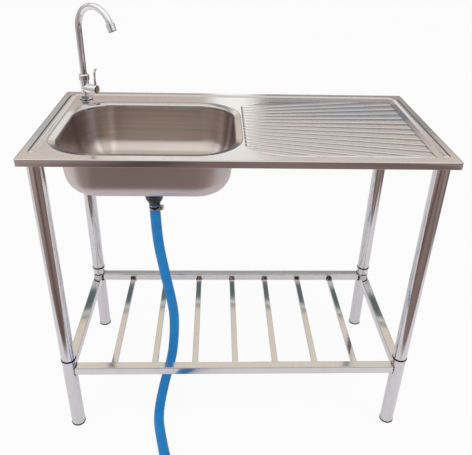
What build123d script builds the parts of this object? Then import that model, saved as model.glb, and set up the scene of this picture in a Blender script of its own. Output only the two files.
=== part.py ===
"""Free-standing kitchen sink unit: a pressed steel sink top with one bowl and a ribbed
drainboard, on four two-part tube legs with a slatted shelf, a gooseneck swivel tap with
a quarter-turn lever, and a waste with a flexible drain hose.

Millimetres. X runs along the sink, Y from the user's side to the back, Z up.
The origin is on the floor under the middle of the sink top.
"""
import math
import os

from build123d import *

# ---- sink top ---------------------------------------------------------------
deck_length = 1000.0
deck_depth = 510.0
deck_height = 855.0  # floor to the flat of the sink top
sheet = 0.8  # stainless sheet, sink top and bowl
apron_drop = 18.0
fold_radius = 2.4
deck_corner_radius = 4.0

bead_width = 20.0  # raised bead along the left, back and right edges
bead_height = 3.0
bead_inset = 27.0
bead_bend_radius = 26.0
bead_front_left = 46.0  # front edge of the sink top to the end of the bead
bead_front_right = 38.0

# ---- bowl -------------------------------------------------------------------
bowl_length = 430.0
bowl_left_margin = 60.0  # left edge of the sink top to the bowl opening
bowl_front_margin = 44.0
bowl_back_margin = 109.0  # room for the tap behind the bowl
bowl_depth = 135.0
bowl_corner_radius = 96.0
bowl_wall_slope = 7.0  # degrees from upright
bowl_floor_radius = 52.0
ledge_width = 17.0  # sloping border between the flat and the bowl opening
ledge_drop = 3.0
skirt_drop = 7.0  # part of the bowl wall that is drawn from the sink top
lip_radius = 4.0  # where the ledge rolls down into the bowl

# ---- drainboard -------------------------------------------------------------
fan_reach = 555.0  # point that the ribs spread from to the left side of the ribbed field
fan_offset = 1.0  # the same point behind the middle of the sink top
fan_step = 2.23  # degrees from one groove to the next
first_groove = -9
last_groove = 6
rib_fill = 0.8  # rib width as a part of the groove spacing
rib_height = 2.4
rib_end_run = 5.0  # length of the slope at the end of a rib
field_ledge_gap = 5.0  # bowl's ledge to the ribbed field
field_right_margin = 53.0  # edges of the sink top to the ribbed field
field_front_margin = 27.0
field_back_margin = 75.0
field_cut_front = (54.0, 56.0)  # what is cut from the field's left corners, in X and Y
field_cut_back = (48.0, 48.0)

# ---- stand ------------------------------------------------------------------
leg_diameter = 38.0
leg_wall = 1.2
leg_side_inset = 36.0  # leg axis to the end of the sink top
leg_front_inset = 27.0  # leg axis to the front or back of the sink top
joint_height = 246.5  # floor to the top of the lower legs
joiner_ring_height = 5.0
joiner_ring_step = 1.2  # ring stands out from the tube by this
joiner_ring_chamfer = 0.7
joiner_spigot = 32.0
joiner_wall = 2.5
foot_rim_height = 4.5
foot_rim_step = 0.8
foot_chamfer = 1.0
foot_plug = 22.0
plug_fit = 0.15  # plastic plug to tube, on the radius

rail_size = 25.0
rail_wall = 1.2
rail_corner_radius = 2.5
rail_drop = 23.5  # top of the lower legs to the top of the rails
slat_count = 7
slat_margin = 119.0  # leg axis to the middle of the first slat
slat_corner_radius = 1.2
slat_width = 17.0
slat_height = 9.0
slat_wall = 1.0
weld_gap = 0.1
weld_width = 2.2  # above and below a rail, and round a slat
weld_side = 0.9  # beside a rail, where the next rail is close
weld_height = 2.0

bracket_size = 58.0
bracket_cut = 28.0
bracket_thickness = 2.5
bracket_gap = 0.4  # bracket edge to the fold of the sink top
hem_to_leg = 2.0
stud_diameter = 10.0
stud_length = 22.0
leg_plug_length = 18.0
thread_fit = 0.1

# ---- waste and hose ---------------------------------------------------------
waste_hole = 52.0
waste_recess = 84.0
waste_recess_drop = 3.0
strainer_flange = 76.0
strainer_bowl = 46.0
strainer_depth = 9.0
strainer_sheet = 0.8
strainer_hole = 4.5
strainer_ring_diameters = (19.0, 33.0)
strainer_hole_counts = (8, 14)
gasket_thickness = 2.0
gasket_margin = 1.0  # strainer's edge to its gasket
waste_flange = 66.0
waste_flange_thickness = 5.0
waste_body_diameter = 56.0
waste_body_drop = 56.0  # bowl floor to the start of the taper
waste_wall = 2.5
waste_shoulder_drop = 88.0  # bowl floor to the shoulder that the hose meets
waste_bridge = (7.0, 12.0)  # width and height of the bridge that takes the screw
waste_bridge_drop = 26.0  # gasket to the middle of the bridge
waste_boss = 13.0
waste_boss_rise = 8.0
waste_screw_diameter = 6.0
waste_screw_head = 13.0
waste_screw_head_height = 3.5
waste_screw_slot = (1.4, 1.2)  # width and depth
waste_screw_end_gap = 2.0  # end of the screw to the underside of the bridge
hose_outer = 29.5
hose_inner = 24.0
hose_tail_length = 26.0
hose_tail_bore = 19.0
hose_fit = 0.1
clamp_width = 12.0
clamp_thickness = 0.8
clamp_drop = 2.5  # hose end to the upper edge of the clamp
clamp_housing = (9.0, 12.0, 11.0)
clamp_screw_diameter = 5.5
clamp_screw_length = 19.0
clamp_screw_head = (8.5, 4.5)  # across corners, and height
clamp_screw_slot = (1.2, 1.2)
clamp_screw_turn = -20.0  # where the screw sits round the hose

# middle line of the hose, by hand: straight out of the waste, between two slats of the
# shelf, round onto the floor and forward past the front legs
hose_gap = 2  # the hose goes between this slat and the next
hose_straight_start = 102.0
hose_lift = 0.15  # its underside above the floor
hose_fall = [  # X from the middle of the gap, Y from the waste, Z from the floor
    (-33.5, 0.0, 395.0),
    (-12.0, 1.0, 262.0),
    (-13.5, -0.5, 177.0),
    (-20.5, -32.5, 104.0),
    (-42.5, -90.5, 53.0),
]
hose_run = [(-56.5, -192.5), (-37.5, -280.5), (-16.5, -363.5), (29.5, -430.5), (98.5, -472.5)]

# ---- tap --------------------------------------------------------------------
tap_side_inset = 70.0  # tap axis to the left end of the sink top
tap_back_inset = 65.0
tap_hole = 22.4
shank_diameter = 20.955  # G1/2 pipe thread, over its crests
shank_engaged_diameter = 20.4  # the same thread where the back nut sits on it
shank_length = 46.0  # top of the sink to the end of the thread
water_bore = 12.0
base_washer = 1.5
base_nut_flats = 34.0
base_nut_height = 10.0
base_flange = 38.0
base_flange_height = 2.5
back_nut_flats = 27.0
back_nut_height = 8.0
back_washer = 32.0
back_washer_thickness = 1.6
tap_body_diameter = 23.0
tap_body_rise = 59.0  # sink top to the top of the body
collar_diameter = 28.0
collar_grip = 6.0  # how far the collar reaches down over the body
collar_rise = 11.0  # top of the body to the top of the collar
collar_shoulder = (2.5, 2.0)  # cone at the collar's top, across and up
collar_chamfer = 0.8
collar_flutes = 24
collar_flute_diameter = 1.4
collar_flute_margin = 2.5
spout_diameter = 17.0
spout_bore = 14.0
spout_fit = 0.1
spout_turn = -35.0  # degrees from +X at rest
spout_bend_radius = 62.0
spout_bend_rise = 193.0  # sink top to the start of the bend
spout_bend_angle = 156.0
spout_straight_end = 8.0
ferrule_diameter = 19.6
ferrule_length = 13.0
socket_depth = 14.0
end_play = 0.4
o_ring_section = 1.8
o_ring_fit = 0.1
aerator_diameter = 22.0
aerator_length = 20.0
aerator_lip = 1.2
aerator_shelf = 0.5  # metal between the end of the spout and the insert
aerator_recess = 1.0  # insert's face inside the rim of the shell
aerator_hole = 1.8
aerator_ring_diameters = (0.0, 6.8, 13.2)
aerator_hole_counts = (1, 6, 12)
aerator_chamfer = 1.2
valve_rise = 31.0  # sink top to the axis of the valve
valve_turn = -28.0  # degrees from +X
valve_barrel_diameter = 25.0
valve_barrel_reach = 32.0  # tap axis to the face of the valve barrel
cartridge_diameter = 19.0
cartridge_inner_end = 14.0
cartridge_floor = 6.0
cartridge_port = (6.0, 4.0)  # diameter and depth
spindle_diameter = 7.0
spindle_flat = 5.0
spindle_flat_depth = 1.0
hub_diameter = 25.0
hub_length = 9.0
hub_chamfer = 1.0
lever_height = 58.0
lever_root = 7.5
lever_root_sink = 3.0  # how deep the lever starts in the hub
lever_sections = [  # part of the height, lean outwards, width, thickness
    (0.55, 0.0, 5.0, 5.0),
    (0.8, 1.0, 7.7, 3.2),
    (1.0, 6.0, 11.0, 3.2),
]
lever_rounding = 0.45  # corner radius as a part of the thickness
cap_diameter = 21.0
cap_rise = 0.4
cap_dome = 4.0
cap_facets = 8
cap_table = 0.42  # flat top of the cap as a part of its width
cap_recess = 3.0
cap_room = (9.5, 2.5)  # hollow for the screw's head
hub_web = 2.0  # metal between the spindle's end and the screw's head
handle_screw_diameter = 4.0
handle_screw_head = (7.5, 2.0)
handle_screw_slot = (1.2, 0.8)
handle_screw_grip = 8.0  # depth of its hole in the spindle
handle_screw_end_gap = 1.0

past = 5.0  # a cutter runs past the face it opens by this

# ---- worked out from the values above ---------------------------------------
deck_underside = deck_height - sheet
apron_bottom = deck_height - apron_drop
leg_x = deck_length / 2 - leg_side_inset
leg_y = deck_depth / 2 - leg_front_inset
leg_bore = leg_diameter - 2 * leg_wall
hem_width = leg_front_inset - leg_diameter / 2 - hem_to_leg
bowl_width = deck_depth - bowl_front_margin - bowl_back_margin
bowl_x = -deck_length / 2 + bowl_left_margin + bowl_length / 2
bowl_y = -deck_depth / 2 + bowl_front_margin + bowl_width / 2
bowl_floor = deck_height - bowl_depth
opening_z = deck_height - ledge_drop
skirt_z = deck_height - ledge_drop - skirt_drop
field_left = bowl_x + bowl_length / 2 + ledge_width + field_ledge_gap
field_right = deck_length / 2 - field_right_margin
field_front = -deck_depth / 2 + field_front_margin
field_back = deck_depth / 2 - field_back_margin
fan_origin_x = field_left - fan_reach
crown_root = sheet / 2  # ribs and beads start this far under the face of the sheet
rib_field_room = 1.0  # above the ribs

rail_bottom = joint_height - rail_drop - rail_size
rail_mid = rail_bottom + rail_size / 2
slat_pitch = 2 * (leg_x - slat_margin) / (slat_count - 1)
bracket_underside = deck_underside - bracket_thickness

seat_z = bowl_floor - waste_recess_drop  # inside of the recess in the bowl's floor
under_z = seat_z - sheet
flange_top = under_z - gasket_thickness
taper_z = bowl_floor - waste_body_drop
shoulder_z = bowl_floor - waste_shoulder_drop
tail_end_z = shoulder_z - hose_tail_length
strainer_z = seat_z + gasket_thickness
cup_floor_z = strainer_z - strainer_depth + strainer_sheet
bridge_z = flange_top - waste_bridge_drop
bridge_bottom = bridge_z - waste_bridge[1] / 2
clamp_top = shoulder_z - clamp_drop
clamp_reach = hose_outer / 2 + hose_fit + clamp_thickness

tap_x = -deck_length / 2 + tap_side_inset
tap_y = deck_depth / 2 - tap_back_inset
shank_end = deck_height - shank_length
body_base = deck_height + base_washer
barrel_base = body_base + base_nut_height
tap_body_top = deck_height + tap_body_rise
collar_bottom = tap_body_top - collar_grip
collar_top = tap_body_top + collar_rise
valve_height = deck_height + valve_rise
back_nut_z = deck_underside - back_washer_thickness - back_nut_height
socket_z = tap_body_top - socket_depth
ferrule_z = socket_z + end_play
o_ring_z = ferrule_z + ferrule_length / 2
spout_bend_height = deck_height + spout_bend_rise
hub_start = valve_barrel_reach + end_play
hub_end = hub_start + hub_length
cap_floor = hub_end - cap_recess
spindle_reach = cap_floor - hub_web
spindle_start = cartridge_inner_end + cartridge_floor

CORNERS = {
    "front_left": (-1, -1),
    "front_right": (1, -1),
    "back_left": (-1, 1),
    "back_right": (1, 1),
}


# ---- shared shapes ----------------------------------------------------------
def rod(diameter, z_low, z_high, x=0.0, y=0.0):
    """An upright round bar."""
    bar = Cylinder(diameter / 2, z_high - z_low, align=(Align.CENTER, Align.CENTER, Align.MIN))
    return Pos(x, y, z_low) * bar


def pipe(outer, inner, z_low, z_high, x=0.0, y=0.0):
    """An upright round tube."""
    return rod(outer, z_low, z_high, x, y) - rod(inner, z_low, z_high, x, y)


def hexagon(flats, z_low, z_high):
    """An upright hexagonal bar, measured across its flats."""
    outline = RegularPolygon(flats / 2, 6, major_radius=False)
    return Pos(0, 0, z_low) * extrude(outline, z_high - z_low)


def ring_points(diameter, count):
    """Points evenly spaced on a circle."""
    turns = [2 * math.pi * number / count for number in range(count)]
    return [(diameter / 2 * math.cos(turn), diameter / 2 * math.sin(turn)) for turn in turns]


def rounded_layer(width, depth, radius, z):
    """A rounded rectangle lying at height z."""
    return Pos(0, 0, z) * RectangleRounded(width, depth, radius)


def box_section(size_y, size_z, wall, corner, length):
    """A square or flat tube along X, its middle at the origin."""
    outside = RectangleRounded(size_y, size_z, corner)
    inside = RectangleRounded(size_y - 2 * wall, size_z - 2 * wall, max(corner - wall, wall / 4))
    profile = Plane.YZ * (outside - inside)
    return Pos(-length / 2, 0, 0) * extrude(profile, length)


def crown_chord(width, height, root):
    """Half the width of a rib or bead at its root, for its width at the flat of the sheet."""
    radius = ((width / 2) ** 2 + height**2) / (2 * height)
    return math.sqrt(radius**2 - (radius - height - root) ** 2)


def crown_face(x, y, z, width, height, root):
    """Cross-section of a rib or bead at x: an arc over a chord at its root, facing along X."""
    half = crown_chord(width, height, root)
    left = (x, y - half, z - root)
    right = (x, y + half, z - root)
    return make_face([ThreePointArc(left, (x, y, z + height), right), Line(right, left)])


def crown_end(x, y, z, width, height, root, side):
    """Half a dome that closes a rib or bead at x; side is -1 for the low-X end."""
    half = crown_chord(width, height, root)
    radius = (half**2 + (height + root) ** 2) / (2 * (height + root))
    lean = math.asin(half / radius) / 2
    top = (x, y, z + height)
    middle = (x, y - side * radius * math.sin(lean), z + height - radius * (1 - math.cos(lean)))
    edge = (x, y - side * half, z - root)
    outline = make_face([ThreePointArc(top, middle, edge), Polyline(edge, (x, y, z - root), top)])
    return revolve(outline, Axis((x, y, 0), (0, 0, 1)), 180)


def weld_collar(axis_x, axis_y, along, side):
    """Weld seam where a rail meets a leg: a saddle round the rail's mouth."""
    reach = leg_diameter / 2 + weld_height
    mouth = rail_size + 2 * weld_gap
    turn = Rot(0, 0, 0 if along == "x" else 90)
    band = Box(reach, rail_size + 2 * weld_side, rail_size + 2 * weld_width)
    frame = Pos(side * reach / 2, 0, 0) * (band - Box(2 * reach, mouth, mouth))
    hollow = Cylinder(leg_diameter / 2 + weld_gap, 2 * rail_size)
    outside = Cylinder(reach, 2 * rail_size)
    return Pos(axis_x, axis_y, rail_mid) * ((turn * frame - hollow) & outside)


# ---- sink top ---------------------------------------------------------------
def tray(inset):
    """The folded sink top as a block: outside with inset 0, inside with inset one sheet."""
    outline = RectangleRounded(
        deck_length - 2 * inset, deck_depth - 2 * inset, deck_corner_radius - inset
    )
    block = Pos(0, 0, apron_bottom) * extrude(outline, apron_drop - inset)
    rim = block.edges().group_by(Axis.Z)[-1]
    return fillet(rim, fold_radius - inset)


def groove_line(index, x):
    """Where groove number index lies at x; half numbers are the ribs' middles."""
    spread = math.tan(math.radians(fan_step))
    return fan_offset + index * spread * (x - fan_origin_x)


def rib_width(x):
    return rib_fill * math.tan(math.radians(fan_step)) * (x - fan_origin_x)


def rib_field():
    """Block with sloping sides, in which the ribs end in a line on every side."""
    across_front, along_front = field_cut_front
    across_back, along_back = field_cut_back
    corners = [
        (field_left, field_front + along_front),
        (field_left + across_front, field_front),
        (field_right, field_front),
        (field_right, field_back),
        (field_left + across_back, field_back),
        (field_left, field_back - along_back),
    ]
    outline = make_face(Polyline(*corners, close=True))
    lean = math.degrees(math.atan2(rib_end_run, rib_height))
    block = extrude(outline, rib_height + crown_root + rib_field_room, taper=lean)
    return Pos(0, 0, deck_height - crown_root) * block


def make_ribs():
    """The ribs of the fan, as solid bars from just under the face of the sheet."""
    start = field_left - past
    finish = field_right + past
    field = rib_field()
    ribs = []
    for number in range(first_groove, last_groove):
        middle = number + 0.5
        first, last = [
            crown_face(x, groove_line(middle, x), deck_height, rib_width(x), rib_height, crown_root)
            for x in (start, finish)
        ]
        ribs.append(loft([first, last], ruled=True) & field)
    return ribs


def edge_bead(lowered):
    """The raised bead round three sides; lowered is one sheet for its underside."""
    z = deck_height - lowered
    side = deck_length / 2 - bead_inset
    back = deck_depth / 2 - bead_inset
    left_front = -deck_depth / 2 + bead_front_left
    right_front = -deck_depth / 2 + bead_front_right
    route = FilletPolyline(
        (-side, left_front, z),
        (-side, back, z),
        (side, back, z),
        (side, right_front, z),
        radius=bead_bend_radius,
    )
    half_turn = Rot(0, 0, 90)
    section = Pos(-side, left_front, 0) * half_turn * crown_face(
        0, 0, z, bead_width, bead_height, crown_root
    )
    bar = sweep(section, path=route)
    tip = crown_end(0, 0, z, bead_width, bead_height, crown_root, -1)
    left_tip = Pos(-side, left_front, 0) * half_turn * tip
    right_tip = Pos(side, right_front, 0) * half_turn * tip
    return bar + left_tip + right_tip


def opening_layer(grow, z):
    """Outline of the bowl at height z, on the slope of its wall, larger by grow."""
    pulled_in = (opening_z - z) * math.tan(math.radians(bowl_wall_slope))
    change = 2 * (grow - pulled_in)
    return rounded_layer(
        bowl_length + change,
        bowl_width + change,
        bowl_corner_radius + grow - pulled_in,
        z,
    )


def ledge_form(grow):
    """The border that slopes to the opening and turns down into it, as a plug."""
    outer = rounded_layer(
        bowl_length + 2 * ledge_width,
        bowl_width + 2 * ledge_width,
        bowl_corner_radius + ledge_width,
        deck_height - grow,
    )
    lip = opening_layer(grow, opening_z - grow)
    slope = loft([outer, lip], ruled=True)
    wall = loft([lip, opening_layer(grow, skirt_z)], ruled=True)
    plug = slope + wall
    roll = plug.edges().filter_by_position(Axis.Z, opening_z - grow - 0.01, opening_z - grow + 0.01)
    return Pos(bowl_x, bowl_y, 0) * fillet(roll, lip_radius - grow)


def make_sink_top():
    ribs = make_ribs()
    outside = tray(0) + edge_bead(0) + ribs
    inside = tray(sheet) + edge_bead(sheet) + [Pos(0, 0, -sheet) * rib for rib in ribs]
    lip_outer = RectangleRounded(deck_length, deck_depth, deck_corner_radius)
    lip_inner = RectangleRounded(
        deck_length - 2 * hem_width, deck_depth - 2 * hem_width, deck_corner_radius
    )
    hem = Pos(0, 0, apron_bottom) * extrude(lip_outer - lip_inner, sheet)
    top = outside - (inside - ledge_form(sheet)) + hem - ledge_form(0)
    return top - rod(tap_hole, deck_underside - past, deck_height + past, tap_x, tap_y)


def bowl_form(grow):
    """The drawn bowl as a plug, from its butt joint down to the floor."""
    top = opening_layer(grow, skirt_z)
    bottom = opening_layer(grow, bowl_floor - grow)
    plug = loft([bottom, top], ruled=True)
    return fillet(plug.edges().group_by(Axis.Z)[0], bowl_floor_radius + grow)


def make_bowl():
    shell = bowl_form(sheet) - bowl_form(0)
    recess_outer = rod(waste_recess + 2 * sheet, under_z, bowl_floor - sheet / 2)
    recess_inner = rod(waste_recess, seat_z, bowl_floor + past)
    drain = rod(waste_hole, under_z - past, bowl_floor + past)
    return Pos(bowl_x, bowl_y, 0) * (shell + recess_outer - recess_inner - drain)


# ---- waste and hose ---------------------------------------------------------
def make_strainer():
    """Perforated dish over the waste, with a flange that the screw pulls onto the bowl."""
    top = strainer_z + strainer_sheet
    bottom = strainer_z - strainer_depth
    disc = rod(strainer_flange, strainer_z, top)
    cup = rod(strainer_bowl, bottom, top)
    hollow = rod(strainer_bowl - 2 * strainer_sheet, cup_floor_z, top + past)
    holes = [rod(waste_screw_diameter + 2 * hose_fit, bottom - past, top)]
    for diameter, count in zip(strainer_ring_diameters, strainer_hole_counts):
        holes += [rod(strainer_hole, bottom - past, top, x, y) for x, y in ring_points(diameter, count)]
    return disc + cup - hollow - holes


def make_strainer_seal():
    return pipe(strainer_flange - 2 * gasket_margin, waste_hole, seat_z, strainer_z)


def make_waste_seal():
    return pipe(waste_flange, waste_hole, flange_top, under_z)


def waste_form(inset, tail_diameter):
    """Barrel, taper and tail of the waste: outside with inset 0, inside with its wall."""
    barrel_diameter = waste_body_diameter - 2 * inset
    barrel = rod(barrel_diameter, taper_z, flange_top)
    taper = Pos(0, 0, (taper_z + shoulder_z) / 2) * Cone(
        (hose_tail_bore if inset else hose_outer) / 2, barrel_diameter / 2, taper_z - shoulder_z
    )
    return barrel + taper + rod(tail_diameter, tail_end_z, shoulder_z)


def make_waste_body():
    """Cup under the bowl that tapers to the tail in the hose, with a bridge for the screw."""
    flange = rod(waste_flange, flange_top - waste_flange_thickness, flange_top)
    outside = waste_form(0, hose_inner - 2 * hose_fit)
    inside = waste_form(waste_wall, hose_tail_bore)
    width, height = waste_bridge
    bridge = Pos(0, 0, bridge_z) * Box(waste_body_diameter - waste_wall, width, height)
    boss = rod(waste_boss, bridge_bottom, bridge_z + waste_boss_rise)
    thread = rod(waste_screw_diameter + 2 * thread_fit, bridge_bottom - past, bridge_z + height)
    return flange + outside - inside + bridge + boss - thread


def make_waste_screw():
    slot_width, slot_depth = waste_screw_slot
    head_top = cup_floor_z + waste_screw_head_height
    head = rod(waste_screw_head, cup_floor_z, head_top)
    slot = Pos(0, 0, head_top) * Box(waste_screw_head + past, slot_width, 2 * slot_depth)
    shank = rod(waste_screw_diameter, bridge_bottom + waste_screw_end_gap, cup_floor_z)
    return head - slot + shank


def at_waste(part):
    return Pos(bowl_x, bowl_y, 0) * part


def slat_x(number):
    """Middle of a slat; the slats are numbered from 1 at the left."""
    return (number - (slat_count + 1) / 2) * slat_pitch


def hose_points():
    gap_x = slat_x(hose_gap) + slat_pitch / 2
    rest_z = hose_outer / 2 + hose_lift
    start = [(bowl_x, bowl_y, shoulder_z), (bowl_x, bowl_y, shoulder_z - hose_straight_start)]
    fall = [(gap_x + x, bowl_y + y, z) for x, y, z in hose_fall]
    run = [(gap_x + x, bowl_y + y, rest_z) for x, y in hose_run]
    return start + fall + run


def hose_radii():
    """Largest arc that both runs of each corner allow."""
    points = [Vector(*point) for point in hose_points()]
    radii = []
    for before, corner, after in zip(points, points[1:], points[2:]):
        arriving = corner - before
        leaving = after - corner
        turn = math.radians(arriving.get_angle(leaving))
        radii.append(0.45 * min(arriving.length, leaving.length) / math.tan(turn / 2))
    return radii


def make_drain_hose():
    route = FilletPolyline(*hose_points(), radius=hose_radii())
    wall = Pos(*hose_points()[0]) * (Circle(hose_outer / 2) - Circle(hose_inner / 2))
    hose = sweep(wall, path=route)
    area = math.pi * (hose_outer**2 - hose_inner**2) / 4
    print("hose length", round(route.length, 1), "volume share", hose.volume / area / route.length)
    print("hose radii", [round(radius) for radius in hose_radii()])
    return hose


def make_clamp_band():
    inner = hose_outer + 2 * hose_fit
    return pipe(inner + 2 * clamp_thickness, inner, clamp_top - clamp_width, clamp_top)


def clamp_frame(part):
    """Where the clamp's screw housing sits on the band."""
    return Rot(0, 0, clamp_screw_turn) * Pos(clamp_reach, 0, clamp_top - clamp_width / 2) * part


def make_clamp_housing():
    depth, width, height = clamp_housing
    bore = Rot(90, 0, 0) * Cylinder(clamp_screw_diameter / 2 + thread_fit, width + past)
    return clamp_frame(Pos(depth / 2 + hose_fit, 0, 0) * (Box(depth, width, height) - bore))


def make_clamp_screw():
    head_width, head_height = clamp_screw_head
    slot_width, slot_depth = clamp_screw_slot
    shaft = Rot(90, 0, 0) * Cylinder(clamp_screw_diameter / 2, clamp_screw_length)
    head = Rot(90, 0, 0) * extrude(RegularPolygon(head_width / 2, 6), head_height)
    slot = Pos(0, -head_height, 0) * Box(head_width + past, 2 * slot_depth, slot_width)
    screw = shaft + Pos(0, -clamp_screw_length / 2, 0) * (head - slot)
    return clamp_frame(Pos(clamp_housing[0] / 2 + hose_fit, 0, 0) * screw)


# ---- stand ------------------------------------------------------------------
def make_bracket(sign_x, sign_y):
    """Corner plate spot-welded under the sink top, with the stud that holds a leg."""
    inner_x = deck_length / 2 - fold_radius - bracket_gap
    inner_y = deck_depth / 2 - fold_radius - bracket_gap
    low_x = inner_x - bracket_size
    low_y = inner_y - bracket_size
    corners = [
        (inner_x - deck_corner_radius, inner_y),
        (low_x, inner_y),
        (low_x, inner_y - bracket_cut),
        (inner_x - bracket_cut, low_y),
        (inner_x, low_y),
        (inner_x, inner_y - deck_corner_radius),
    ]
    outline = make_face(Polyline(*[(sign_x * x, sign_y * y) for x, y in corners], close=True))
    plate = Pos(0, 0, bracket_underside) * extrude(outline, bracket_thickness, dir=(0, 0, 1))
    stud = rod(
        stud_diameter, bracket_underside - stud_length, bracket_underside, sign_x * leg_x, sign_y * leg_y
    )
    return plate + stud


def make_leg_plug():
    """Threaded disc welded into the head of a leg."""
    return pipe(
        leg_bore - 2 * weld_gap,
        stud_diameter + 2 * thread_fit,
        bracket_underside - leg_plug_length,
        bracket_underside,
    )


def make_upper_leg():
    return pipe(leg_diameter, leg_bore, joint_height + joiner_ring_height, bracket_underside)


def make_joiner():
    plug = leg_bore - 2 * plug_fit
    ring = rod(
        leg_diameter + 2 * joiner_ring_step, joint_height, joint_height + joiner_ring_height
    )
    ring = chamfer(ring.edges(), joiner_ring_chamfer)
    spigot = rod(
        plug, joint_height - joiner_spigot, joint_height + joiner_ring_height + joiner_spigot
    )
    bore = rod(
        plug - 2 * joiner_wall,
        joint_height - joiner_spigot - past,
        joint_height + joiner_ring_height + joiner_spigot + past,
    )
    return ring + spigot - bore


def make_lower_leg():
    return pipe(leg_diameter, leg_bore, foot_rim_height, joint_height)


def make_foot_cap():
    rim = rod(leg_diameter + 2 * foot_rim_step, 0, foot_rim_height)
    rim = chamfer(rim.edges().group_by(Axis.Z)[0], foot_chamfer)
    outer = leg_bore - 2 * plug_fit
    plug = pipe(outer, outer - 2 * joiner_wall, foot_rim_height, foot_rim_height + foot_plug)
    return rim + plug


def make_rail(along, side):
    """Square tube between two legs, its ends shaped to the legs' round."""
    span = leg_x if along == "x" else leg_y
    bar = box_section(rail_size, rail_size, rail_wall, rail_corner_radius, 2 * span)
    if along == "x":
        bar = Pos(0, side * leg_y, rail_mid) * bar
    else:
        bar = Pos(side * leg_x, 0, rail_mid) * Rot(0, 0, 90) * bar
    mouths = [
        rod(leg_diameter + 2 * weld_gap, 0, deck_height, sign_x * leg_x, sign_y * leg_y)
        for sign_x, sign_y in CORNERS.values()
    ]
    return bar - mouths


def make_slat(number):
    length = 2 * (leg_y - rail_size / 2 - weld_gap)
    bar = box_section(slat_width, slat_height, slat_wall, slat_corner_radius, length)
    return Pos(slat_x(number), 0, rail_bottom + slat_height / 2) * Rot(0, 0, 90) * bar


def make_rail_welds():
    """Two weld saddles per leg, where its two rails meet it."""
    seams = []
    for sign_x, sign_y in CORNERS.values():
        x, y = sign_x * leg_x, sign_y * leg_y
        seams.append(weld_collar(x, y, "x", -sign_x))
        seams.append(weld_collar(x, y, "y", -sign_y))
    return seams


def make_slat_welds():
    """A small seam round each slat end, on the inner faces of the rails."""
    seams = []
    frame_height = slat_height + weld_width
    block = Box(slat_width + 2 * weld_width, weld_height, frame_height)
    slot = Box(slat_width + 2 * weld_gap, weld_height + past, slat_height + 2 * weld_gap)
    seam = block - Pos(0, 0, -weld_width / 2) * slot
    reach = leg_y - rail_size / 2 - weld_gap - weld_height / 2
    for number in range(1, slat_count + 1):
        for side in (-1, 1):
            place = Pos(slat_x(number), side * reach, rail_bottom + frame_height / 2)
            seams.append(place * seam)
    return seams


# ---- tap --------------------------------------------------------------------
def at_tap(part):
    return Pos(tap_x, tap_y, 0) * part


def on_valve(part):
    """Turns a piece drawn along +X from the tap axis to the valve's direction and height."""
    return at_tap(Pos(0, 0, valve_height) * (Rot(0, 0, valve_turn) * part))


def bar_along_x(diameter, start, finish):
    bar = Rot(0, 90, 0) * Cylinder(diameter / 2, finish - start)
    return Pos((start + finish) / 2, 0, 0) * bar


def make_base_washer():
    return at_tap(pipe(base_flange - 2 * gasket_margin, tap_hole, deck_height, body_base))


def make_base_nut():
    """Hexagon over a round foot that covers the hole in the sink top."""
    foot = rod(base_flange, body_base, body_base + base_flange_height)
    nut = hexagon(base_nut_flats, body_base + base_flange_height, barrel_base)
    bore = rod(shank_engaged_diameter + 2 * thread_fit, body_base - past, barrel_base + past)
    return at_tap(foot + nut - bore)


def make_tap_body():
    """Brass body: threaded shank, upright barrel with the spout's socket, side barrel."""
    free_end = rod(shank_diameter, shank_end, back_nut_z)
    shank = free_end + rod(shank_engaged_diameter, back_nut_z, barrel_base)
    barrel = rod(tap_body_diameter, barrel_base, tap_body_top)
    water = rod(water_bore, shank_end - past, tap_body_top)
    socket = rod(ferrule_diameter + 2 * spout_fit, socket_z, tap_body_top + past)
    side = bar_along_x(valve_barrel_diameter, 0, valve_barrel_reach)
    seat = bar_along_x(
        cartridge_diameter + 2 * thread_fit, cartridge_inner_end, valve_barrel_reach + past
    )
    crossing = bar_along_x(cartridge_port[0], 0, cartridge_inner_end + past)
    upright = at_tap(shank + barrel - water - socket)
    return upright + on_valve(side) - at_tap(water) - on_valve(seat) - on_valve(crossing)


def make_tap_washer():
    bottom = deck_underside - back_washer_thickness
    return at_tap(pipe(back_washer, tap_hole, bottom, deck_underside))


def make_back_nut():
    nut = hexagon(back_nut_flats, back_nut_z, back_nut_z + back_nut_height)
    bore = rod(shank_engaged_diameter + 2 * thread_fit, back_nut_z - past, deck_underside)
    return at_tap(nut - bore)


def make_collar():
    """Fluted nut that holds the spout down and guides it."""
    across, up = collar_shoulder
    shoulder_z = collar_top - up
    grip = rod(collar_diameter, collar_bottom, shoulder_z)
    grip = chamfer(grip.edges().group_by(Axis.Z)[0], collar_chamfer)
    cone = Cone(collar_diameter / 2, collar_diameter / 2 - across, up)
    low = collar_bottom + collar_flute_margin
    high = shoulder_z - collar_flute_margin
    points = ring_points(collar_diameter, collar_flutes)
    flutes = [rod(collar_flute_diameter, low, high, x, y) for x, y in points]
    thread = rod(tap_body_diameter + 2 * thread_fit, collar_bottom - past, tap_body_top)
    guide = rod(spout_diameter + 2 * spout_fit, collar_bottom, collar_top + past)
    return at_tap(grip + Pos(0, 0, collar_top - up / 2) * cone - flutes - thread - guide)


def spout_route():
    """Middle line of the gooseneck in its own plane, X outward, and its lower end."""
    turn = math.radians(spout_bend_angle)
    radius = spout_bend_radius
    base = spout_bend_height
    bend_points = [
        (radius - radius * math.cos(part * turn), 0, base + radius * math.sin(part * turn))
        for part in (0, 0.5, 1)
    ]
    bend = ThreePointArc(*bend_points)
    out = Vector(math.sin(turn), 0, math.cos(turn)) * spout_straight_end
    end = Vector(*bend_points[-1]) + out
    rise = Line((0, 0, ferrule_z), bend_points[0])
    return Wire([rise, bend, Line(bend_points[-1], end)]), end


def on_spout(part):
    return at_tap(Rot(0, 0, spout_turn) * part)


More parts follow.
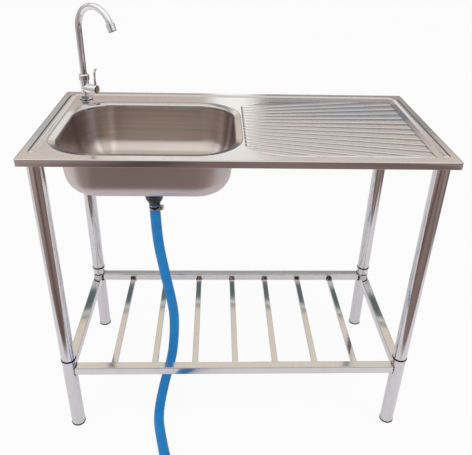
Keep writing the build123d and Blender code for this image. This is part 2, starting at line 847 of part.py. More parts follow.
def make_spout_tube():
    """Gooseneck with a ferrule at its foot that the collar holds in the body's socket."""
    route, _ = spout_route()
    ring = Pos(0, 0, ferrule_z) * (Circle(spout_diameter / 2) - Circle(spout_bore / 2))
    tube = sweep(ring, path=route)
    ferrule = pipe(ferrule_diameter, spout_diameter, ferrule_z, ferrule_z + ferrule_length)
    half = o_ring_section / 2 + o_ring_fit
    groove_floor = spout_diameter + 2 * o_ring_fit
    groove = pipe(ferrule_diameter + past, groove_floor, o_ring_z - half, o_ring_z + half)
    return on_spout(tube + ferrule - groove)


def make_spout_o_ring():
    half = o_ring_section / 2
    inner = spout_diameter + 2 * o_ring_fit
    return on_spout(pipe(ferrule_diameter, inner, o_ring_z - half, o_ring_z + half))


def on_outlet(part):
    """Puts a piece drawn downward from the origin on the end of the spout."""
    _, end = spout_route()
    return on_spout(Pos(end) * Rot(0, spout_bend_angle - 180, 0) * part)


def make_aerator_shell():
    shell = rod(aerator_diameter, spout_straight_end - aerator_length, spout_straight_end)
    shell = chamfer(shell.edges().group_by(Axis.Z)[-1], aerator_chamfer)
    neck = rod(spout_diameter + 2 * weld_gap, 0, spout_straight_end + past)
    bore = rod(aerator_diameter - 2 * aerator_lip, -aerator_length, -aerator_shelf)
    return on_outlet(shell - neck - bore - rod(spout_bore, -past, past))


def make_aerator_insert():
    bottom = spout_straight_end - aerator_length + aerator_recess
    disc = rod(aerator_diameter - 2 * aerator_lip - 2 * thread_fit, bottom, -aerator_shelf)
    holes = []
    for diameter, count in zip(aerator_ring_diameters, aerator_hole_counts):
        points = ring_points(diameter, count)
        holes += [rod(aerator_hole, bottom - past, past, x, y) for x, y in points]
    return on_outlet(disc - holes)


def make_cartridge():
    """Ceramic-disc quarter-turn cartridge in the side barrel."""
    port_diameter, port_depth = cartridge_port
    body = bar_along_x(cartridge_diameter, cartridge_inner_end, valve_barrel_reach)
    way = bar_along_x(spindle_diameter + 2 * thread_fit, spindle_start, valve_barrel_reach + past)
    port = bar_along_x(port_diameter, 0, cartridge_inner_end + port_depth)
    return on_valve(body - way - port)


def spindle_key(fit):
    """What the spindle lacks at its flat; a fit makes it smaller, for the hub's side."""
    block = Box(spindle_flat - 2 * fit, spindle_diameter, 2 * (spindle_flat_depth - fit))
    return Pos(spindle_reach - spindle_flat / 2, 0, spindle_diameter / 2) * block


def make_spindle():
    shaft = bar_along_x(spindle_diameter, spindle_start + end_play, spindle_reach)
    thread = bar_along_x(
        handle_screw_diameter + 2 * thread_fit, spindle_reach - handle_screw_grip, hub_end
    )
    return on_valve(shaft - spindle_key(0) - thread)


def lever_section(height, x, width, thickness):
    corner = min(width, thickness) * lever_rounding
    return Pos(x, 0, height) * RectangleRounded(thickness, width, corner)


def make_lever():
    """Hub on the spindle with the slim lever that rises from it and leans out at its tip."""
    hub = bar_along_x(hub_diameter, hub_start, hub_end)
    hub = chamfer(hub.edges().group_by(Axis.X)[-1], hub_chamfer)
    middle = (hub_start + hub_end) / 2
    layers = [lever_section(hub_diameter / 2 - lever_root_sink, middle, lever_root, lever_root)]
    for part, lean, width, thickness in lever_sections:
        layers.append(lever_section(part * lever_height, middle + lean, width, thickness))
    stem = loft(layers, ruled=True)
    seat = bar_along_x(
        spindle_diameter + 2 * thread_fit, hub_start - past, spindle_reach + thread_fit
    )
    screw_way = bar_along_x(handle_screw_diameter + 2 * thread_fit, spindle_reach, hub_end)
    recess = bar_along_x(cap_diameter + 2 * thread_fit, cap_floor, hub_end + past)
    return on_valve(hub + stem - (seat - spindle_key(thread_fit)) - screw_way - recess)


def make_handle_screw():
    head_diameter, head_height = handle_screw_head
    slot_width, slot_depth = handle_screw_slot
    shaft_start = spindle_reach - handle_screw_grip + handle_screw_end_gap
    shaft = bar_along_x(handle_screw_diameter, shaft_start, cap_floor)
    head = bar_along_x(head_diameter, cap_floor, cap_floor + head_height)
    slot = Box(2 * slot_depth, head_diameter + past, slot_width)
    return on_valve(shaft + head - Pos(cap_floor + head_height, 0, 0) * slot)


def cap_facet_layer(x, diameter):
    return Plane((x, 0, 0), z_dir=(1, 0, 0)) * RegularPolygon(diameter / 2, cap_facets)


def make_index_cap():
    """Cap faceted like a cut stone, pressed into the hub over the screw."""
    rim_top = hub_end + cap_rise
    rim = bar_along_x(cap_diameter, cap_floor, rim_top)
    table = cap_facet_layer(rim_top + cap_dome, cap_diameter * cap_table)
    dome = loft([cap_facet_layer(rim_top, cap_diameter), table], ruled=True)
    room_diameter, room_depth = cap_room
    room = bar_along_x(room_diameter, cap_floor - past, cap_floor + room_depth)
    return on_valve(rim + dome - room)


# ---- all nodes --------------------------------------------------------------
def make_nodes():
    nodes = {
        "sink_top": make_sink_top(),
        "bowl": make_bowl(),
        "strainer": at_waste(make_strainer()),
        "strainer_seal": at_waste(make_strainer_seal()),
        "waste_seal": at_waste(make_waste_seal()),
        "waste_body": at_waste(make_waste_body()),
        "waste_screw": at_waste(make_waste_screw()),
        "drain_hose": make_drain_hose(),
        "hose_clamp_band": at_waste(make_clamp_band()),
        "hose_clamp_housing": at_waste(make_clamp_housing()),
        "hose_clamp_screw": at_waste(make_clamp_screw()),
        "tap_base_washer": make_base_washer(),
        "tap_base_nut": make_base_nut(),
        "tap_body": make_tap_body(),
        "tap_back_washer": make_tap_washer(),
        "tap_back_nut": make_back_nut(),
        "tap_cartridge": make_cartridge(),
        "spout_collar": make_collar(),
        "spout_tube": make_spout_tube(),
        "spout_o_ring": make_spout_o_ring(),
        "aerator_shell": make_aerator_shell(),
        "aerator_insert": make_aerator_insert(),
        "valve_spindle": make_spindle(),
        "tap_lever": make_lever(),
        "lever_screw": make_handle_screw(),
        "index_cap": make_index_cap(),
        "rail_front": make_rail("x", -1),
        "rail_back": make_rail("x", 1),
        "rail_left": make_rail("y", -1),
        "rail_right": make_rail("y", 1),
        "rail_welds": make_rail_welds(),
        "slat_welds": make_slat_welds(),
    }
    plugs = []
    for corner, (sign_x, sign_y) in CORNERS.items():
        place = Pos(sign_x * leg_x, sign_y * leg_y, 0)
        nodes["bracket_" + corner] = make_bracket(sign_x, sign_y)
        nodes["upper_leg_" + corner] = place * make_upper_leg()
        nodes["leg_joiner_" + corner] = place * make_joiner()
        nodes["lower_leg_" + corner] = place * make_lower_leg()
        nodes["foot_cap_" + corner] = place * make_foot_cap()
        plugs.append(place * make_leg_plug())
    nodes["leg_head_plugs"] = plugs
    for number in range(1, slat_count + 1):
        nodes["slat_%d" % number] = make_slat(number)
    return nodes


os.makedirs("parts", exist_ok=True)
for name, shape in make_nodes().items():
    if isinstance(shape, list):
        shape = Compound(children=[solid for item in shape for solid in item.solids()])
    export_step(shape, os.path.join("parts", name + ".step"))
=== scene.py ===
"""Dresses the kitchen sink unit: steel stand, slatted shelf, pressed sink top with its
bowl, waste and drain hose, and the swivel tap. Metres, in the frame of the model."""
import math

import bpy
import bmesh
from mathutils import Matrix, Vector, geometry


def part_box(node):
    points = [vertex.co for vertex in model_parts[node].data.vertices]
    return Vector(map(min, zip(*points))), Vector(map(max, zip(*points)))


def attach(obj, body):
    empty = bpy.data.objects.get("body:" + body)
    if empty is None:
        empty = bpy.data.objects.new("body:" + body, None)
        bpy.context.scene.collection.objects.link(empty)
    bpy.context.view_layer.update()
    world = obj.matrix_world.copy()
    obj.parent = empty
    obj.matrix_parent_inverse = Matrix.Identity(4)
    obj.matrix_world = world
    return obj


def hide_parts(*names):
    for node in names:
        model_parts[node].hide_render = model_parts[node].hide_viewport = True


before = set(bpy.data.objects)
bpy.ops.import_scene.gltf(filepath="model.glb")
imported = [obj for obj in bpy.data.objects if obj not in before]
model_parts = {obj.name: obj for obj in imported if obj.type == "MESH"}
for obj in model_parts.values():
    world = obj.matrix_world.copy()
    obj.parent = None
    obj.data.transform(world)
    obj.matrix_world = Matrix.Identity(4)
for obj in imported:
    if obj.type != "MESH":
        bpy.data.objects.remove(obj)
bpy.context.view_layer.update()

# ---- Camera -----------------------------------------------------------------
# Stands in front of the sink, above its top, and looks down on it a little from the left,
# with the lens and the place that a fit to the sink top's corners and the feet gave.


def in_scene(name, data):
    """Puts an object in the scene."""
    made = bpy.data.objects.new(name, data)
    bpy.context.scene.collection.objects.link(made)
    return made


camera_data = bpy.data.cameras.new("sink_camera")
camera_data.lens = 42.427
camera_data.sensor_width = 36.0
camera_data.clip_start = 0.05
camera_data.clip_end = 60.0
camera = in_scene("sink_camera", camera_data)
camera.location = (-0.056950, -1.392138, 1.343896)
camera.rotation_euler = [math.radians(turn) for turn in (59.939586, -1.231947, -1.678569)]
bpy.context.scene.camera = camera

# ---- Legs -------------------------------------------------------------------
# Each leg is two lengths of thin stainless tube, polished along their length, which meet
# on a plastic joiner at the height of the shelf.


def add(tree, kind, values=None, **settings):
    """Adds a node; values go in its sockets, by name or number, or come from a link."""
    made = tree.nodes.new(kind)
    for key, value in settings.items():
        setattr(made, key, value)
    for key, value in (values or {}).items():
        if isinstance(value, bpy.types.NodeSocket):
            tree.links.new(value, made.inputs[key])
        else:
            made.inputs[key].default_value = value
    return made


def new_finish(name, roughness, metallic=0.0, **sockets):
    """A new material, its tree, and the place on the piece that its patterns read."""
    finish = bpy.data.materials.new(name)
    finish.use_nodes = True
    tree = finish.node_tree
    shader = tree.nodes["Principled BSDF"]
    shader.inputs["Roughness"].default_value = roughness
    shader.inputs["Metallic"].default_value = metallic
    for key, value in sockets.items():
        shader.inputs[key.replace("_", " ")].default_value = value
    place = add(tree, "ShaderNodeTexCoord").outputs["Object"]
    return finish, tree, place


def grain(tree, place, scale, detail=3.0, rough=0.55):
    """Noise of the piece's own place, finer where the scale is larger, one or one for each axis."""
    scales = (scale,) * 3 if isinstance(scale, float) else scale
    spot = add(tree, "ShaderNodeMapping", {"Vector": place, "Scale": scales})
    values = {"Vector": spot.outputs[0], "Scale": 1.0, "Detail": detail, "Roughness": rough}
    return add(tree, "ShaderNodeTexNoise", values).outputs["Fac"]


def spread(tree, value, low, high, start=0.3, stop=0.7):
    """Takes a pattern's range to another range."""
    values = {0: value, 1: start, 2: stop, 3: low, 4: high}
    return add(tree, "ShaderNodeMapRange", values).outputs[0]


def reckon(tree, operation, *values):
    """The outcome of a sum on patterns or numbers."""
    return add(tree, "ShaderNodeMath", dict(enumerate(values)), operation=operation).outputs[0]


def blend(tree, share, one, other, mode="MIX"):
    """Colour between two colours, by a pattern."""
    values = {0: share, 6: one, 7: other}
    mixed = add(tree, "ShaderNodeMix", values, data_type="RGBA", blend_type=mode)
    return mixed.outputs[2]


def relief(finish, *layers):
    """Adds bumps to a finish, each a pattern and the metres from its low to its high."""
    tree = finish.node_tree
    socket = tree.nodes["Principled BSDF"].inputs["Normal"]
    for pattern, height in layers:
        values = {"Height": pattern, "Distance": height, "Strength": 1.0}
        if socket.links:
            values["Normal"] = socket.links[0].from_socket
        tree.links.new(add(tree, "ShaderNodeBump", values).outputs[0], socket)


def dress(finish, tone, gloss, *layers):
    """Gives a finish its patterns of colour and of roughness, and its bumps."""
    tree = finish.node_tree
    inputs = tree.nodes["Principled BSDF"].inputs
    tree.links.new(tone, inputs["Base Color"])
    tree.links.new(gloss, inputs["Roughness"])
    relief(finish, *layers)


def drawn_steel(name, colour, shade, roughness, along, wave=0.0001, line=0.000004):
    """Bright stainless steel with fine lines along one axis and a slightly wavy face."""
    finish, tree, place = new_finish(name, roughness, 1.0)
    stretch = [900.0] * 3
    stretch["XYZ".index(along)] = 9.0
    lines = grain(tree, place, stretch, 2.0)
    clouds = grain(tree, place, 14.0, 2.0)
    marks = grain(tree, place, 60.0, 4.0, 0.7)
    tone = blend(tree, spread(tree, lines, 0.0, 0.6), colour, shade)
    tone = blend(tree, spread(tree, marks, 0.0, 0.45, 0.5, 0.75), tone, shade)
    gloss = spread(tree, lines, roughness * 0.75, roughness * 1.25)
    gloss = reckon(tree, "ADD", gloss, spread(tree, marks, 0.0, roughness * 0.5))
    dress(finish, tone, gloss, (clouds, wave), (lines, line))
    return finish


def finish_nodes(finish, *names):
    """Gives a finish to every node whose name starts with one of these."""
    for node_name, node in model_parts.items():
        if node_name.startswith(names):
            node.data.materials.clear()
            node.data.materials.append(finish)


leg_steel = drawn_steel("leg_steel", (0.78, 0.76, 0.75, 1), (0.62, 0.60, 0.59, 1), 0.07, "Z", 0.00006)
finish_nodes(leg_steel, "upper_leg_", "lower_leg_")

# ---- Joiners and foot caps --------------------------------------------------
# Matt black polypropylene, moulded: the joiner shows as a ring between the two tubes of a
# leg, and the cap's rim is all that shows under it.
black_plastic, tree, place = new_finish("black_plastic", 0.6, Specular_IOR_Level=0.05)
cloud = grain(tree, place, 220.0, 4.0)
scuff = grain(tree, place, (40.0, 40.0, 400.0), 3.0, 0.7)
tone = blend(tree, spread(tree, cloud, 0.0, 1.0), (0.002, 0.002, 0.003, 1), (0.006, 0.006, 0.007, 1))
tone = blend(tree, spread(tree, scuff, 0.0, 0.3, 0.66, 0.8), tone, (0.02, 0.02, 0.018, 1))
dress(black_plastic, tone, spread(tree, scuff, 0.5, 0.7), (cloud, 0.00005))
finish_nodes(black_plastic, "leg_joiner_", "foot_cap_")

# ---- Shelf ------------------------------------------------------------------
# Four square rails run between the legs just under the joiners, and seven flat slats
# between the long rails. All are stainless tube with a satin face.
MM = 0.001  # the sizes from here to the waste are in millimetres
leg_spots = [(x, y) for x in (-464.0, 464.0) for y in (-228.0, 228.0)]
rail_half = 12.5
rail_corner = 2.5
rail_middle_z = 210.5
slat_pitch = 115.0
slat_spots = [slat_pitch * (number - 3) for number in range(7)]
slat_half, slat_foot, slat_top = 8.5, 198.0, 207.0

shelf_tones = (0.78, 0.76, 0.74, 1), (0.66, 0.64, 0.62, 1)
shelf_steel = drawn_steel("shelf_steel", *shelf_tones, 0.08, "X", 0.00006)
slat_steel = drawn_steel("slat_steel", *shelf_tones, 0.035, "Y", 0.00002)
finish_nodes(shelf_steel, "rail_front", "rail_back")
finish_nodes(slat_steel, "rail_left", "rail_right", "slat_")


def product(tree, *values):
    """Patterns multiplied with each other."""
    whole = values[0]
    for value in values[1:]:
        whole = reckon(tree, "MULTIPLY", whole, value)
    return whole


def patch(tree, value, start, stop, edge):
    """1 between two values, and 0 outside them, with soft ends."""
    one = spread(tree, value, 0.0, 1.0, start, start + edge)
    other = spread(tree, value, 1.0, 0.0, stop - edge, stop)
    return product(tree, one, other)


def places_on(finish):
    """A finish's tree, the place on the piece and its three axes, for one more pattern."""
    tree = finish.node_tree
    place = add(tree, "ShaderNodeTexCoord").outputs["Object"]
    return tree, place, add(tree, "ShaderNodeSeparateXYZ", {0: place}).outputs


def lay_over(finish, share, colour, mode="MIX"):
    """Lays a colour over a finish's own, as far as a pattern says."""
    tree = finish.node_tree
    socket = tree.nodes["Principled BSDF"].inputs["Base Color"]
    tree.links.new(blend(tree, share, socket.links[0].from_socket, colour, mode), socket)


# The heat of the welds left marks on the long rails' inner faces, over each slat.
mark_half = (slat_half + 0.5) * MM
mark_foot, mark_top = (slat_top + 1.5) * MM, (slat_top + 8.5) * MM
last_mark = (slat_spots[-1] + 13.0) * MM
inner_face = (leg_spots[-1][1] - rail_half + 0.2) * MM
tree, place, (x, y, z) = places_on(shelf_steel)
off_slat = reckon(tree, "WRAP", x, slat_pitch / 2 * MM, -slat_pitch / 2 * MM)
ragged = spread(tree, grain(tree, place, 300.0), 0.75, 1.0, 0.3, 0.5)
scorched = product(
    tree,
    patch(tree, off_slat, -mark_half, mark_half, 0.0015),
    patch(tree, z, mark_foot, mark_top, 0.001),
    spread(tree, reckon(tree, "ABSOLUTE", y), 1.0, 0.0, inner_face, inner_face + 0.0005),
    ragged,
    spread(tree, reckon(tree, "ABSOLUTE", x), 1.0, 0.0, last_mark, last_mark + 0.002),
)
lay_over(shelf_steel, scorched, (0.11, 0.055, 0.04, 1))

# ---- Welds ------------------------------------------------------------------
# Seams of weld hold the rails to the legs and the slats to the rails: drops of metal that
# ran into one another, blackened and blued by the heat.
leg_radius = 19.0
leg_seam_lift, slat_seam_lift = 0.3, 0.4  # from the tube's face to the seam's middle line
drop_radius, drop_step = 2.0, 2.1  # a drop, and from one to the next


def rounded_loop(middle, half, radius, straight, corner):
    """Points round a rectangle with rounded corners, counter-clockwise from below right."""
    radius = max(radius, 0.3)
    arcs = []
    for number, (right, up) in enumerate(((1, -1), (1, 1), (-1, 1), (-1, -1))):
        centre = Vector((middle[0] + right * (half[0] - radius), middle[1] + up * (half[1] - radius)))
        turns = [math.radians(90 * (number - 1 + step / corner)) for step in range(corner + 1)]
        arcs.append([centre + radius * Vector((math.cos(t), math.sin(t))) for t in turns])
    points = []
    for number, arc in enumerate(arcs):
        points += arc
        steps = straight[(number + 1) % 2]
        following = arcs[(number + 1) % 4][0]
        points += [arc[-1].lerp(following, step / steps) for step in range(1, steps)]
    return points


def add_line(points, edges, spots, closed=False):
    """Adds a line of points with its edges, and gives back the points' numbers."""
    numbers = list(range(len(points), len(points) + len(spots)))
    points.extend(spots)
    edges.extend(zip(numbers, numbers[1:] + numbers[:1] if closed else numbers[1:]))
    return numbers


def seam_paths():
    """Middle lines of the seams: a loop round each rail's mouth and three sides of each slat."""
    points, edges = [], []
    mouth = rounded_loop((0.0, 0.0), (rail_half, rail_half), rail_corner, (8, 8), 4)
    for x, y in leg_spots:
        for along_x in (True, False):
            loop = []
            for off, up in mouth:
                out = math.sqrt(leg_radius**2 - off**2) + leg_seam_lift
                if along_x:
                    spot = (x - math.copysign(out, x), y + off)
                else:
                    spot = (x + off, y - math.copysign(out, y))
                loop.append((*spot, rail_middle_z + up))
            add_line(points, edges, loop, True)
    for x in slat_spots:
        for side in (-1, 1):
            y = side * (leg_spots[-1][1] - rail_half - slat_seam_lift)
            add_line(points, edges, [(x - slat_half, y, slat_foot), (x - slat_half, y, slat_top),
                                     (x + slat_half, y, slat_top), (x + slat_half, y, slat_foot)])
    mesh = bpy.data.meshes.new("seam_paths")
    mesh.from_pydata([tuple(value * MM for value in point) for point in points], edges, [])
    return mesh


weld_steel, tree, place = new_finish("weld_steel", 0.3, 1.0)
ripple = grain(tree, place, 520.0, 3.0)
soot = grain(tree, place, 150.0, 3.0, 0.7)
heat = grain(tree, place, 70.0, 2.0)
tone = blend(tree, spread(tree, heat, 0.0, 1.0, 0.45, 0.6), (0.80, 0.76, 0.72, 1), (0.42, 0.30, 0.20, 1))
tone = blend(tree, spread(tree, ripple, 0.0, 0.5, 0.5, 0.7), tone, (0.16, 0.18, 0.30, 1))
tone = blend(tree, spread(tree, soot, 0.0, 1.0, 0.42, 0.49), tone, (0.006, 0.004, 0.006, 1))
dress(weld_steel, tone, spread(tree, soot, 0.16, 0.55, 0.4, 0.6), (ripple, 0.0003))

seam = bpy.data.node_groups.new("weld_seam", "GeometryNodeTree")
sockets = seam.interface
sockets.new_socket("Geometry", in_out="INPUT", socket_type="NodeSocketGeometry")
step_in = sockets.new_socket("Drop Step", in_out="INPUT", socket_type="NodeSocketFloat")
radius_in = sockets.new_socket("Drop Radius", in_out="INPUT", socket_type="NodeSocketFloat")
seed_in = sockets.new_socket("Seed", in_out="INPUT", socket_type="NodeSocketInt")
sockets.new_socket("Geometry", in_out="OUTPUT", socket_type="NodeSocketGeometry")
given = seam.nodes.new("NodeGroupInput").outputs
curve = add(seam, "GeometryNodeMeshToCurve", {0: given["Geometry"]})
spacing = {"Curve": curve.outputs[0], "Length": given["Drop Step"]}
spots = add(seam, "GeometryNodeResampleCurve", spacing, mode="LENGTH")
drop = add(seam, "GeometryNodeMeshUVSphere", {"Segments": 8, "Rings": 5, "Radius": given["Drop Radius"]})


def chance(low, high):
    """A vector for each drop, between two."""
    values = {0: low, 1: high, "Seed": given["Seed"]}
    return add(seam, "FunctionNodeRandomValue", values, data_type="FLOAT_VECTOR").outputs[0]


drops = add(seam, "GeometryNodeInstanceOnPoints", {
    "Points": spots.outputs[0], "Instance": drop.outputs[0],
    "Scale": chance((0.7, 0.7, 0.5), (1.35, 1.35, 1.1)),
    "Rotation": chance((0.0, 0.0, 0.0), (6.28, 6.28, 6.28)),
})
whole = add(seam, "GeometryNodeRealizeInstances", {0: drops.outputs[0]})
smooth = add(seam, "GeometryNodeSetShadeSmooth", {0: whole.outputs[0]})
coated = add(seam, "GeometryNodeSetMaterial", {0: smooth.outputs[0], "Material": weld_steel})
add(seam, "NodeGroupOutput", {0: coated.outputs[0]})


def new_piece(name, mesh, finish, body):
    """Puts a mesh in the scene on a body, with its finish and material slot."""
    mesh.materials.append(finish)
    piece = in_scene(name, mesh)
    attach(piece, body)
    return piece


paths = in_scene("seam_paths", seam_paths())
made = paths.modifiers.new("weld_seam", "NODES")
made.node_group = seam
made[step_in.identifier] = drop_step * MM
made[radius_in.identifier] = drop_radius * MM
made[seed_in.identifier] = 4
weld_mesh = bpy.data.meshes.new_from_object(paths.evaluated_get(bpy.context.evaluated_depsgraph_get()))
bpy.data.objects.remove(paths)
weld_mesh.name = "weld_seams"
weld_mesh.materials.clear()
welds = new_piece("weld_seams", weld_mesh, weld_steel, "root")
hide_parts("rail_welds", "slat_welds")
finish_nodes(weld_steel, "leg_head_plugs")

# ---- Corner brackets --------------------------------------------------------
# Plates of galvanised steel under the corners of the sink top. Each has a stud that screws
# into the plug in the head of a leg.


def mottled(name, metallic, scale, tones, gloss, height, detail=4.0, rough=0.55, **sockets):
    """A finish with clouds between two tones and two roughnesses, and bumps of a height."""
    finish, tree, place = new_finish(name, gloss[0], metallic, **sockets)
    cloud = grain(tree, place, scale, detail, rough)
    tone = blend(tree, spread(tree, cloud, 0.0, 1.0), *tones)
    dress(finish, tone, spread(tree, cloud, *gloss), (cloud, height))
    return finish


zinc_tones = (0.50, 0.51, 0.52, 1), (0.38, 0.39, 0.40, 1)
bracket_steel = mottled("bracket_steel", 1.0, 50.0, zinc_tones, (0.3, 0.5), 0.00004, 5.0, 0.65)
tree, place, _ = places_on(bracket_steel)
spangle = add(tree, "ShaderNodeTexVoronoi", {"Vector": place, "Scale": 160.0})
lay_over(bracket_steel, 0.25, spangle.outputs["Color"], "SOFT_LIGHT")
finish_nodes(bracket_steel, "bracket_")

# ---- Sink top ---------------------------------------------------------------
# One sheet of stainless steel, pressed: a flat top with a folded apron, a raised bead
# round three sides, a sunk border round the bowl and a fan of ribs to drain dishes on.
sheet_wall = 0.8
top_z = 855.0
top_half = (500.0, 255.0)
top_corner = 4.0
fold_radius = 2.4
hem_width = 6.0
hem_radius = 1.2
apron_foot = 837.0
bowl_middle = (-225.0, -32.5)
bowl_half = (215.0, 178.5)
bowl_corner = 96.0
border_width = 17.0
border_drop = 3.0
lip_radius = 4.0
bowl_joint = 845.0  # the top's own wall ends here, and the bowl's starts
wall_lean = math.tan(math.radians(7.0))
tap_spot = (-430.0, 190.0)
tap_hole_radius = 11.2
bead_side, bead_back, bead_bend = 473.0, 228.0, 26.0
bead_tips = (-209.0, -217.0)  # front ends, at the left and at the right
bead_half, bead_height = 10.0, 3.0
bead_flank = 0.72  # part of the bead's half width in which it rises
bead_fall = 0.1  # part of its height that it loses on the way to its foot
fan_middle = (-543.0, 1.0)
fan_slope = math.tan(math.radians(2.23))
fan_first, fan_last = -9, 6
rib_height = 2.4
rib_fullness = 6  # power of the rib's profile: the higher, the flatter its crown
rib_ends = (12.0, 447.0)
rib_sides = (-228.0, 180.0)
rib_cut_front = (54.0, 56.0)  # off the ribbed field's left corners, in X and Y
rib_cut_back = (48.0, 48.0)
rib_run = 5.0  # slope at the end of a rib


def softened(corners, radii, steps=7):
    """A profile of straight runs with each corner rounded to its radius."""
    corners = [Vector(corner) for corner in corners]
    points = [corners[0]]
    for before, corner, after, radius in zip(corners, corners[1:], corners[2:], radii):
        one, other = (before - corner).normalized(), (after - corner).normalized()
        half_turn = one.angle(other) / 2
        centre = corner + (one + other).normalized() * radius / math.sin(half_turn)
        start = corner + one * radius / math.tan(half_turn) - centre
        stop = corner + other * radius / math.tan(half_turn) - centre
        sweep = start.angle_signed(stop)
        for step in range(steps + 1):
            points.append(centre + Matrix.Rotation(-sweep * step / steps, 2) @ start)
    return points + [corners[-1]]


def opening_loop(grow):
    """Outline of the bowl's opening, larger by grow."""
    half = (bowl_half[0] + grow, bowl_half[1] + grow)
    return rounded_loop(bowl_middle, half, bowl_corner + grow, (36, 28), 18)


def outline_loop(grow):
    """Outline of the sink top, larger by grow."""
    half = (top_half[0] + grow, top_half[1] + grow)
    return rounded_loop((0.0, 0.0), half, top_corner + grow, (100, 50), 5)


def bead_distance(x, y):
    """From a point to the middle line of the raised bead."""
    across, tip = abs(x), bead_tips[0 if x < 0 else 1]
    if y < tip:
        return math.hypot(across - bead_side, y - tip)
    if across > bead_side - bead_bend and y > bead_back - bead_bend:
        reach = math.hypot(across - bead_side + bead_bend, y - bead_back + bead_bend)
        return abs(reach - bead_bend)
    return min(abs(across - bead_side), abs(y - bead_back))


def field_depth(x, y):
    """How far inside the ribbed field a point lies."""
    depths = [x - rib_ends[0], rib_ends[1] - x, y - rib_sides[0], rib_sides[1] - y]
    for (across, along), inward in ((rib_cut_front, y - rib_sides[0]), (rib_cut_back, rib_sides[1] - y)):
        slant = (x - rib_ends[0]) / across + inward / along - 1
        depths.append(slant * across * along / math.hypot(across, along))
    return min(depths)


def eased(value):
    """0 to 1 with soft ends."""
    value = min(max(value, 0.0), 1.0)
    return value * value * (3 - 2 * value)


def top_height(x, y):
    """Height of the pressed top over its flat."""
    off_bead = bead_distance(x, y) / bead_half
    bead = bead_height * eased((1 - off_bead) / bead_flank) * (1 - bead_fall * off_bead**2)
    groove = (y - fan_middle[1]) / (fan_slope * (x - fan_middle[0]))
    rib = 0.0
    if fan_first < groove < fan_last:
        off_crown = abs(2 * (groove - math.floor(groove)) - 1)
        rib = rib_height * (1 - off_crown**rib_fullness)
    end = min(max(field_depth(x, y) / rib_run, 0.0), 1.0)
    return max(bead, 0.0) + rib * (1 - (1 - end) ** 2)


def arc_points(middle, radius, degrees):
    """Points of a circle at some turns."""
    turns = [math.radians(turn) for turn in degrees]
    return [(middle[0] + radius * math.cos(turn), middle[1] + radius * math.sin(turn)) for turn in turns]


bead_lines = (1.6, 3.0, 4.2, 5.4, 6.6, 7.8, 9.0, 10.0, 11.4)  # off the bead's middle line
bead_left, bead_right = range(-209, 200, 6), range(195, -214, -6)  # points along it, in Y
bead_length = range(-441, 442, 9)  # and in X
rib_lines = (-1, -0.97, -0.92, -0.84, -0.72, -0.55, -0.3, 0, 0.3, 0.55, 0.72, 0.84, 0.92, 0.97)
rib_end_steps = (0.0, 0.8, 1.8, 3.2, 5.0)
rib_steps = [20.5 + 7.0 * step for step in range(60)] + [438.0]
field_lines = (-1.2, 0.0, 0.9, 2.0, 3.4, 5.0)  # in from the edge of the ribbed field
field_step = 7.0
guard = 1.5  # from an edge to a line that keeps the faces along it narrow


def bead_path(off):
    """A line along the bead, off its middle to the outside: left side, back, right side."""
    side, back, bend = (size + off for size in (bead_side, bead_back, bead_bend))
    bend_x, bend_y = bead_side - bead_bend, bead_back - bead_bend
    path = [(-side, y) for y in bead_left]
    path += arc_points((-bend_x, bend_y), bend, range(180, 89, -9))
    path += [(x, back) for x in bead_length]
    path += arc_points((bend_x, bend_y), bend, range(90, -1, -9))
    return path + [(side, y) for y in bead_right] + [(side, bead_tips[1])]


def rib_runs():
    """Lines along the ribs, as far as they lie in the ribbed field."""
    stations = [rib_ends[0] + step for step in rib_end_steps] + rib_steps
    stations += [rib_ends[1] - step for step in reversed(rib_end_steps)]
    for number in range(fan_first, fan_last):
        for across in rib_lines:
            slope = (number + 0.5 + across / 2) * fan_slope
            line = [(x, fan_middle[1] + slope * (x - fan_middle[0])) for x in stations]
            yield [(x, y) for x, y in line if field_depth(x, y) > -0.001]


def field_ring(depth):
    """Outline of the ribbed field, smaller by depth."""
    corners = []
    for edge, cut, way in ((rib_sides[0], rib_cut_front, 1), (rib_sides[1], rib_cut_back, -1)):
        across, along = cut
        slant = 1 + depth * math.hypot(across, along) / (across * along)
        corners.append([(rib_ends[0] + depth, edge + way * along * (slant - depth / across)),
                        (rib_ends[0] + across * (slant - depth / along), edge + way * depth),
                        (rib_ends[1] - depth, edge + way * depth)])
    corners = [Vector(corner) for corner in corners[0] + corners[1][::-1]]
    ring = []
    for corner, following in zip(corners, corners[1:] + corners[:1]):
        steps = max(int((following - corner).length / field_step), 1)
        ring += [corner.lerp(following, step / steps) for step in range(steps)]
    return ring


